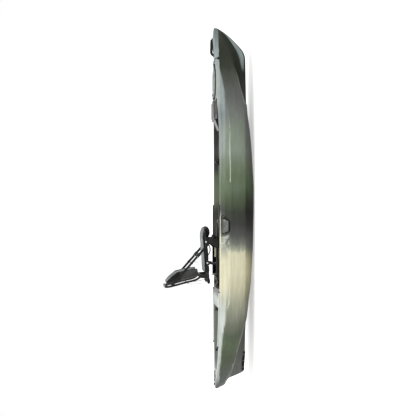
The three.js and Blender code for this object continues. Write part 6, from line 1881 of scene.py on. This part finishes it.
def stitches(name, mesh, lines, aim, body):
    """Sewn stitches along lines over a pad, dropped on its surface along aim."""
    tree, spots = skin_of(mesh), []
    for line in lines:
        length = sum((b - a).length for a, b in zip(line, line[1:]))
        path = spline(line, max(3, int(length / STITCH_PITCH)))
        for a, b in zip(path, path[1:]):
            hit, normal, _, _ = tree.ray_cast((a - Vector(aim) * 60) * MM, Vector(aim))
            if hit is not None:
                spots.append((hit / MM + normal * 0.25, b - a))
    repeated(name, stitch_mesh.copy(), spots, grey_cord, body)


# %% [markdown]
# The seat pad is a sling over the two rails with foam on top: it sags between them, rolls down at
# the front, and has two sewn channels across. Its top is grey mesh inside a black border.

# %% Seat pad
PAD_REAR, PAD_FRONT, PAD_HALF, RAIL_TOP = -304, 149, 216, 11.8
CHANNELS = (0.315, 0.615)


# The height of the pad's top over the rails, and its crown, where it rolls down in front
NOSE = smooth_curve([(60, 27), (94, 19), (112, 14.5), (126, 10), (138, -3), (149, -19)])
NOSE_CROWN = smooth_curve([(60, 6), (94, 9), (126, 5), (149, 0)])
NOSE_THICK = 8


def pad_lines(share, inset=0.0):
    """The half width, edge height, bottom, roundness and place of the seat pad at a share of its length."""
    along = mix(PAD_REAR + inset, PAD_FRONT - inset, share)
    roundness = math.sqrt(min(share_of(share, 0, 0.03), share_of(share, 1, 0.97)))
    over = min(RAIL_TOP, NOSE(along) - NOSE_THICK) + inset
    bottom = mix(over, inset - 13, min(share_of(share, 0.03, 0.05), share_of(share, 0.88, 0.84)))
    top = max(NOSE(along) - inset, over + 0.8)
    edge = mix(over, top, mix(0.45, 1, roundness))
    round_front = 1 - 0.42 * (1 - math.sqrt(1 - share_of(share, 0.84, 1) ** 2))
    half = (PAD_HALF - 5 * math.sin(math.pi * share) - 5 * (1 - roundness)) * round_front - inset
    return along, half, over, edge, bottom, roundness


def pad_ring(share):
    along, half, over, edge, bottom, roundness = pad_lines(share, PAD_INSET)
    inner, crown = min(188 - PAD_INSET, half - 18), NOSE_CROWN(along) * roundness
    points = [(0, bottom), (inner / 2, bottom), (inner - 0.8, bottom), (inner, over), (half - 0.8, over)]
    points += [(half, (over + edge) / 2), (half - 6, edge)]
    points += [
        (half * across, edge + crown * rise)
        for across, rise in ((0.75, 0.45), (0.5, 0.75), (0.25, 0.95), (0, 1))
    ]
    return [on_rail(along, z, y) for y, z in points] + [on_rail(along, z, -y) for y, z in points[-2:0:-1]]


def in_rail(point):
    """A point as its place along the rail, across, and above the rail's middle line."""
    reach = point - on_rail(0)
    return reach.dot(RAIL_RUN), point.y, reach.dot(RAIL_UP)


def settle_seat(point):
    along, across, up = in_rail(point)
    on_frame = abs(across) > 186 or along > 92 or along < PAD_REAR + 14
    lowest = min(RAIL_TOP, NOSE(along) - NOSE_THICK) if on_frame else -13
    across = max(-PAD_HALF, min(PAD_HALF, across))
    return on_rail(max(PAD_REAR, min(PAD_FRONT, along)), max(up, lowest), across)


def seat_channel(point, normal):
    along, across, _ = in_rail(point)
    if normal.dot(RAIL_UP) < 0.3:
        return 0
    depth = 0
    for share in CHANNELS:
        gap = along - mix(PAD_REAR, PAD_FRONT, share)
        depth += 4.2 * math.exp(-((gap / 5.5) ** 2))
    border = PAD_HALF - 27 - abs(across)
    depth += 2.6 * math.exp(-((border / 4.5) ** 2))
    return depth


seat_places = [0, 0.012, 0.04, 0.16, 0.3, 0.45, 0.6, 0.78, 0.86, 0.9, 0.925, 0.95, 0.97, 0.985, 0.995, 1]
seat_mesh_made = puffed("seat_pad", [pad_ring(s) for s in seat_places], settle_seat)
pressed(seat_mesh_made, seat_channel)


def on_grey_top(point, normal):
    along, across, _ = in_rail(point)
    rim = min(PAD_HALF - 27, pad_lines(share_of(along, PAD_REAR, PAD_FRONT))[1] - 14)
    return normal.dot(RAIL_UP) > 0.45 and abs(across) < rim and PAD_REAR + 24 < along < PAD_FRONT - 9


seat_pad = two_tone(
    seat_mesh_made, "seat_pad", "seat_frame", "seat_pad", (seat_mesh, grey_mesh), on_grey_top
)


def sling_sleeves(shape):
    """The sling's hems, sewn round the rails and cut out where the links and pegs are."""
    for rear, front in ((-398, -364), (-290, -236), (-176, -62), (62, 86)):
        swell = [0.9, 1, 1.02, 1, 1.03, 1, 1.01, 1, 0.9]
        path = [on_rail(a, -1.5, RAIL_SPAN - 0.8) for a in np.linspace(rear, front, len(swell))]
        shape.sweep(path, circle(14.2, 26), side=(0, 1, 0), sizes=swell)


both_sides(sling_sleeves, "sling_sleeve", seat_mesh, "seat_frame")
rear_sling = Shape()
sag = [(y, -9 * (1 - (y / 194) ** 2)) for y in np.linspace(-194, 194, 25)]
rear_sling.loft([
    [on_rail(a, z + 1.2, y) for y, z in sag] + [on_rail(a, z - 1.2, y) for y, z in reversed(sag)]
    for a in (-393, -370, -345, -320, -296)
])
rear_sling.sweep([on_rail(-393, 0, y) for y in np.linspace(-184, 184, 9)], circle(11.4, 24), side=RAIL_UP)
rear_sling.done("rear_sling", seat_mesh, "seat_frame")
roll = Shape()
roll_sizes = [0.82, 0.96, 1] + [1.02, 1.0] * 6 + [1, 0.96, 0.82]
roll.sweep(
    [on_rail(107 - 28 * (y / 190) ** 4, -19, y) for y in np.linspace(-190, 190, len(roll_sizes))],
    [(42 * math.cos(t), 29 * math.sin(t)) for t in np.linspace(0, 2 * math.pi, 33)[:-1]], side=RAIL_RUN,
    sizes=roll_sizes,
)
front_roll = roll.done("seat_front_roll", seat_mesh, "seat_frame")


def pad_edge(inset, lift):
    """A loop round the pad's upper edge, in by an inset."""
    rows = []
    for share in np.linspace(0.03, 0.97, 24):
        along, half, _, edge, _, _ = pad_lines(share)
        rows.append((along, half - inset, edge + lift))
    port = [on_rail(a, z, y) for a, y, z in rows]
    ends = [on_rail(a + s * 7, z - 1.5, y * 0.86) for s, (a, y, z) in ((1, rows[-1]), (-1, rows[0]))]
    mirrored = [at_y(p, -p.y) for p in reversed(port)]
    return port + [ends[0], at_y(ends[0], -ends[0].y)] + mirrored + [at_y(ends[1], -ends[1].y), ends[1]]


binding = Shape()
loop = spline(pad_edge(1.8, -1.2), 300, closed=True)
binding.sweep(on_skin(seat_mesh_made, loop[:-1]), circle(2.6, 10), side=RAIL_UP, closed=True)
binding.done("seat_pad_binding", edge_binding, "seat_frame")
rows = [
    [on_rail(mix(PAD_REAR, PAD_FRONT, s) + g, 30, y) for y in np.linspace(-186, 186, 9)] for s in CHANNELS
    for g in (-3.4, 3.4)
]
rows += [
    [on_rail(a, 30, s * (PAD_HALF - 30.5)) for a in np.linspace(PAD_REAR + 22, PAD_FRONT - 20, 9)]
    for s in (-1, 1)
]
stitches("seat_pad_stitches", seat_mesh_made, rows, -RAIL_UP, "seat_frame")

# %% [markdown]
# The back pad is a curved shell with wings that wrap round the sitter, and a seam above the lumbar
# roll. Its front is grey mesh, its rear and rim black, with the lower rear a lighter black as a painted highlight.

# %% Back pad
BACK_LOW, BACK_HIGH, BACK_HALF, WING, BACK_EDGE = 9, 342, 213, 112, 15
BACK_WIDTH = smooth_curve([(0, 0.955), (0.3, 1), (0.6, 0.99), (0.85, 0.93), (1, 0.8)])
BACK_REACH = smooth_curve([(0, 0.84), (0.3, 0.97), (0.55, 1), (0.8, 0.74), (1, 0.4)])
LUMBAR = 0.31


def back_lines(share, inset=0.0):
    up = mix(BACK_LOW + inset, BACK_HIGH - inset, share)
    roundness = math.sqrt(min(share_of(share, 0, 0.06), share_of(share, 1, 0.94)))
    half = BACK_HALF * BACK_WIDTH(share) - inset
    thick = mix(0.45, 1, roundness) * 34
    edge = mix(0.6, 1, roundness) * BACK_EDGE
    reach = WING * BACK_REACH(share)
    return up, half, thick, edge, reach


def back_surface(share, across):
    """The rear face and the thickness of the back pad at a share of its half width."""
    _, _, thick, edge, reach = back_lines(share)
    return -6 + (reach - BACK_EDGE) * across**2.6, mix(thick, edge, across**1.5)


def back_ring(share):
    up, half, _, _, _ = back_lines(share, PAD_INSET)
    points = []
    for across in (0, 0.25, 0.45, 0.62, 0.78, 0.9, 0.98):
        points.append((back_surface(share, across)[0] + PAD_INSET, half * across))
    rear, thick = back_surface(share, 1)
    points += [(rear + thick * 0.4, half), (rear + thick - 1, half - 2)]
    for across in (0.97, 0.88, 0.74, 0.58, 0.42, 0.24, 0):
        rear, thick = back_surface(share, across)
        points.append((rear + thick - PAD_INSET, half * across))
    return [on_back(x, up, y) for x, y in points] + [on_back(x, up, -y) for x, y in points[-2:0:-1]]


def in_back(point):
    reach = point - HUB
    return reach.dot(BACK_FORWARD), point.y, reach.dot(BACK_RUN)


def settle_back(point):
    forward, across, up = in_back(point)
    up = max(BACK_LOW + 0.2, min(BACK_HIGH - 0.2, up))
    share = share_of(up, BACK_LOW, BACK_HIGH)
    half = BACK_HALF * BACK_WIDTH(share)
    rear, _ = back_surface(share, min(abs(across) / half, 1))
    return on_back(max(forward, rear - 0.5), up, max(-half, min(half, across)))


def back_channel(point, normal):
    forward, across, up = in_back(point)
    if normal.dot(BACK_FORWARD) < 0.1:
        return 0
    depth = 4.5 * math.exp(-(((up - mix(BACK_LOW, BACK_HIGH, LUMBAR)) / 6) ** 2))
    depth += 3 * math.exp(-(((abs(across) - 146) / 5) ** 2))
    depth += 2 * math.exp(-(((up - mix(BACK_LOW, BACK_HIGH, 0.66)) / 6) ** 2))
    return depth


back_places = [0, 0.02, 0.06, 0.18, 0.3, 0.45, 0.6, 0.72, 0.84, 0.93, 0.98, 1]
back_mesh_made = puffed("back_pad", [back_ring(s) for s in back_places], settle_back)
pressed(back_mesh_made, back_channel)


def on_grey_front(point, normal):
    _, across, up = in_back(point)
    share = share_of(up, BACK_LOW, BACK_HIGH)
    rim = BACK_HALF * BACK_WIDTH(share) - abs(across)
    if normal.dot(BACK_FORWARD) > 0.05 and rim > 7 and BACK_LOW + 12 < up < BACK_HIGH - 10:
        return 0 if up < 106 and abs(across) < 146 else 1
    # Lower rear and wing faces get the lighter black: a painted highlight
    return 2 if up < 190 and rim > 5 else 0


back_pad = two_tone(
    back_mesh_made, "back_pad", "backrest", "back_pad", (seat_mesh, grey_mesh, lit_black_mesh),
    on_grey_front
)

rim_path = []
for share in np.linspace(0.03, 0.97, 22):
    rear, thick = back_surface(share, 1)
    up, half, *_ = back_lines(share)
    rim_path.append(on_back(rear + thick - 2.5, up, half - 1.5))
across_top = []
for across in (0.8, 0.5, 0.2):
    rear, thick = back_surface(1, across)
    across_top.append(on_back(rear + thick - 1, BACK_HIGH - 2.5, BACK_HALF * 0.8 * across))
across_low = []
for across in (0.2, 0.5, 0.8):
    rear, thick = back_surface(0, across)
    across_low.append(on_back(rear + thick - 1, BACK_LOW + 2.5, BACK_HALF * 0.955 * across))
port = across_low + rim_path + across_top
loop = spline(port + [at_y(p, -p.y) for p in reversed(port)], 340, closed=True)
binding = Shape()
binding.sweep(on_skin(back_mesh_made, loop[:-1]), circle(3, 10), side=BACK_FORWARD, closed=True)
binding.done("back_pad_binding", edge_binding, "backrest")
level = mix(BACK_LOW, BACK_HIGH, LUMBAR)
rows = [[on_back(20, level + g, y) for y in np.linspace(-176, 176, 11)] for g in (-3.6, 3.6)]
rows += [[on_back(40, u, s * (146 + g)) for u in np.linspace(24, 321, 8)] for s in (-1, 1) for g in (-3.4, 3.4)]
stitches("back_pad_stitches", back_mesh_made, rows, -BACK_FORWARD, "backrest")

# %% [markdown]
# Two webbing straps hold the backrest at its angle, each with a cam buckle, a keeper and a sewn loop
# round the peg at either end. They are fixed in place, on no body.

# %% Recline straps and back cords
low_peg, high_peg = on_rail(PEG_ALONG), on_back(-22, PEG_UP)
strap_run = (high_peg - low_peg).normalized()
strap_up = Vector((-strap_run.z, 0, strap_run.x))
STRAP_LENGTH = (high_peg - low_peg).length
BUCKLE_SHARE, KEEPER_SHARE = 0.22, 0.42


def on_strap(along, up=0.0, y=0.0):
    return at_y(low_peg + strap_run * along + strap_up * up, STRAP_SPAN + y)


def strap_web(shape):
    web = rounded_box(2.5, 22, 1, 2)
    path = [on_strap(a) for a in np.linspace(7, STRAP_LENGTH - 7, 60)]
    ends = [0.35, 0.72, 0.92] + [1] * 54 + [0.92, 0.72, 0.35]
    rings = []
    for point, size in zip(path, ends):
        rings.append([point + Vector((0, a, 0)) + strap_up * (b * size) for a, b in web])
    shape.loft(rings)
    for start, end in ((7, 62), (STRAP_LENGTH - 62, STRAP_LENGTH - 7)):
        shape.sweep(
            [on_strap(a, 0, 1.9) for a in np.linspace(start + 5, end, 8)], rounded_box(1.6, 21, 0.6, 2),
            side=(0, 1, 0)
        )
    for at in (0, STRAP_LENGTH):
        ring = [on_strap(at + 6.9 * math.cos(t), 6.9 * math.sin(t)) for t in np.linspace(0, 2 * math.pi, 25)[:-1]]
        shape.sweep(ring, rounded_box(7, 2.6, 1, 2), side=(0, 1, 0), closed=True)
    # The web's UV runs along it, for the weave
    for face in shape.bm.faces:
        for corner in face.loops:
            offset = corner.vert.co - low_peg
            corner[shape.uv].uv = (offset.dot(strap_run) * MM, offset.dot(strap_up) * MM)


def strap_buckle(shape):
    middle = STRAP_LENGTH * BUCKLE_SHARE
    for a, b, half in ((-22, -17, 15), (17, 22, 15), (-3, 3, 14)):
        shape.block((a, -4, -half), (b, 4, half), 1.4)
    for z in (-15, 11.6):
        shape.block((-22, -4, z), (22, 4, z + 3.4), 1.2)
    shape.block((-14, 2.2, -11), (13, 4, 11), 0.8)
    for x in (-8, -2, 4):
        shape.block((x, 3.6, -9), (x + 2.4, 5, 9), 0.6)
    shape.moved(basis(on_strap(middle), strap_run, strap_up))


def strap_keeper(shape):
    shape.block((-7, -3.4, -13.5), (7, 3.4, 13.5), 1.6)
    shape.moved(basis(on_strap(STRAP_LENGTH * KEEPER_SHARE), strap_run, strap_up))


def strap_tail(shape):
    """The spare end of the webbing, which hangs from the buckle and ends in a roll."""
    start = on_strap(STRAP_LENGTH * BUCKLE_SHARE + 14, -5)
    drop = [start, start + Vector((-16, 0, -4)), start + Vector((-44, 0, -8)), Vector((-523, STRAP_SPAN, 541))]
    centre = Vector((-540, STRAP_SPAN, 536))
    coil = [centre + Vector((math.cos(t), 0, math.sin(t))) * (14 - 1.35 * t) for t in np.linspace(0.5, 8.4, 44)]
    shape.sweep(spline(drop + coil[:1], 24)[:-1] + coil, rounded_box(24, 2.0, 0.8, 2), side=(0, 1, 0))


cord_points = [
    (-386.4, 188, 283), (-391.6, 190, 262), (-393, 195, 205), (-385, 200.9, 150), (-376, 205, 112),
    (-373, 205, 90.2)
]


def back_cord(shape):
    path = spline([Vector((SEAT.x + x, y, SEAT.z + z)) for x, y, z in cord_points], 60)
    shape.sweep(path, circle(2.4, 10))
    for tip, size in ((path[0], 4.2), (path[-1], 3.6)):
        shape.turned(
            tip, (0, 0, 1),
            [(size * 0.5, -size), (size, -size * 0.45), (size, size * 0.45), (size * 0.5, size)], 14
        )


straps = both_sides(strap_web, "recline_strap", strap_webbing, None, ["recline_strap"])
straps += both_sides(strap_buckle, "strap_buckle", nylon, None)
straps += both_sides(strap_keeper, "strap_keeper", nylon, None)
straps += both_sides(strap_tail, "strap_tail", grey_cord, None)
for strap in straps:
    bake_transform(strap)
cords = both_sides(back_cord, "back_cord", grey_cord, None, ["back_cord"])
for cord in cords:
    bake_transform(cord)
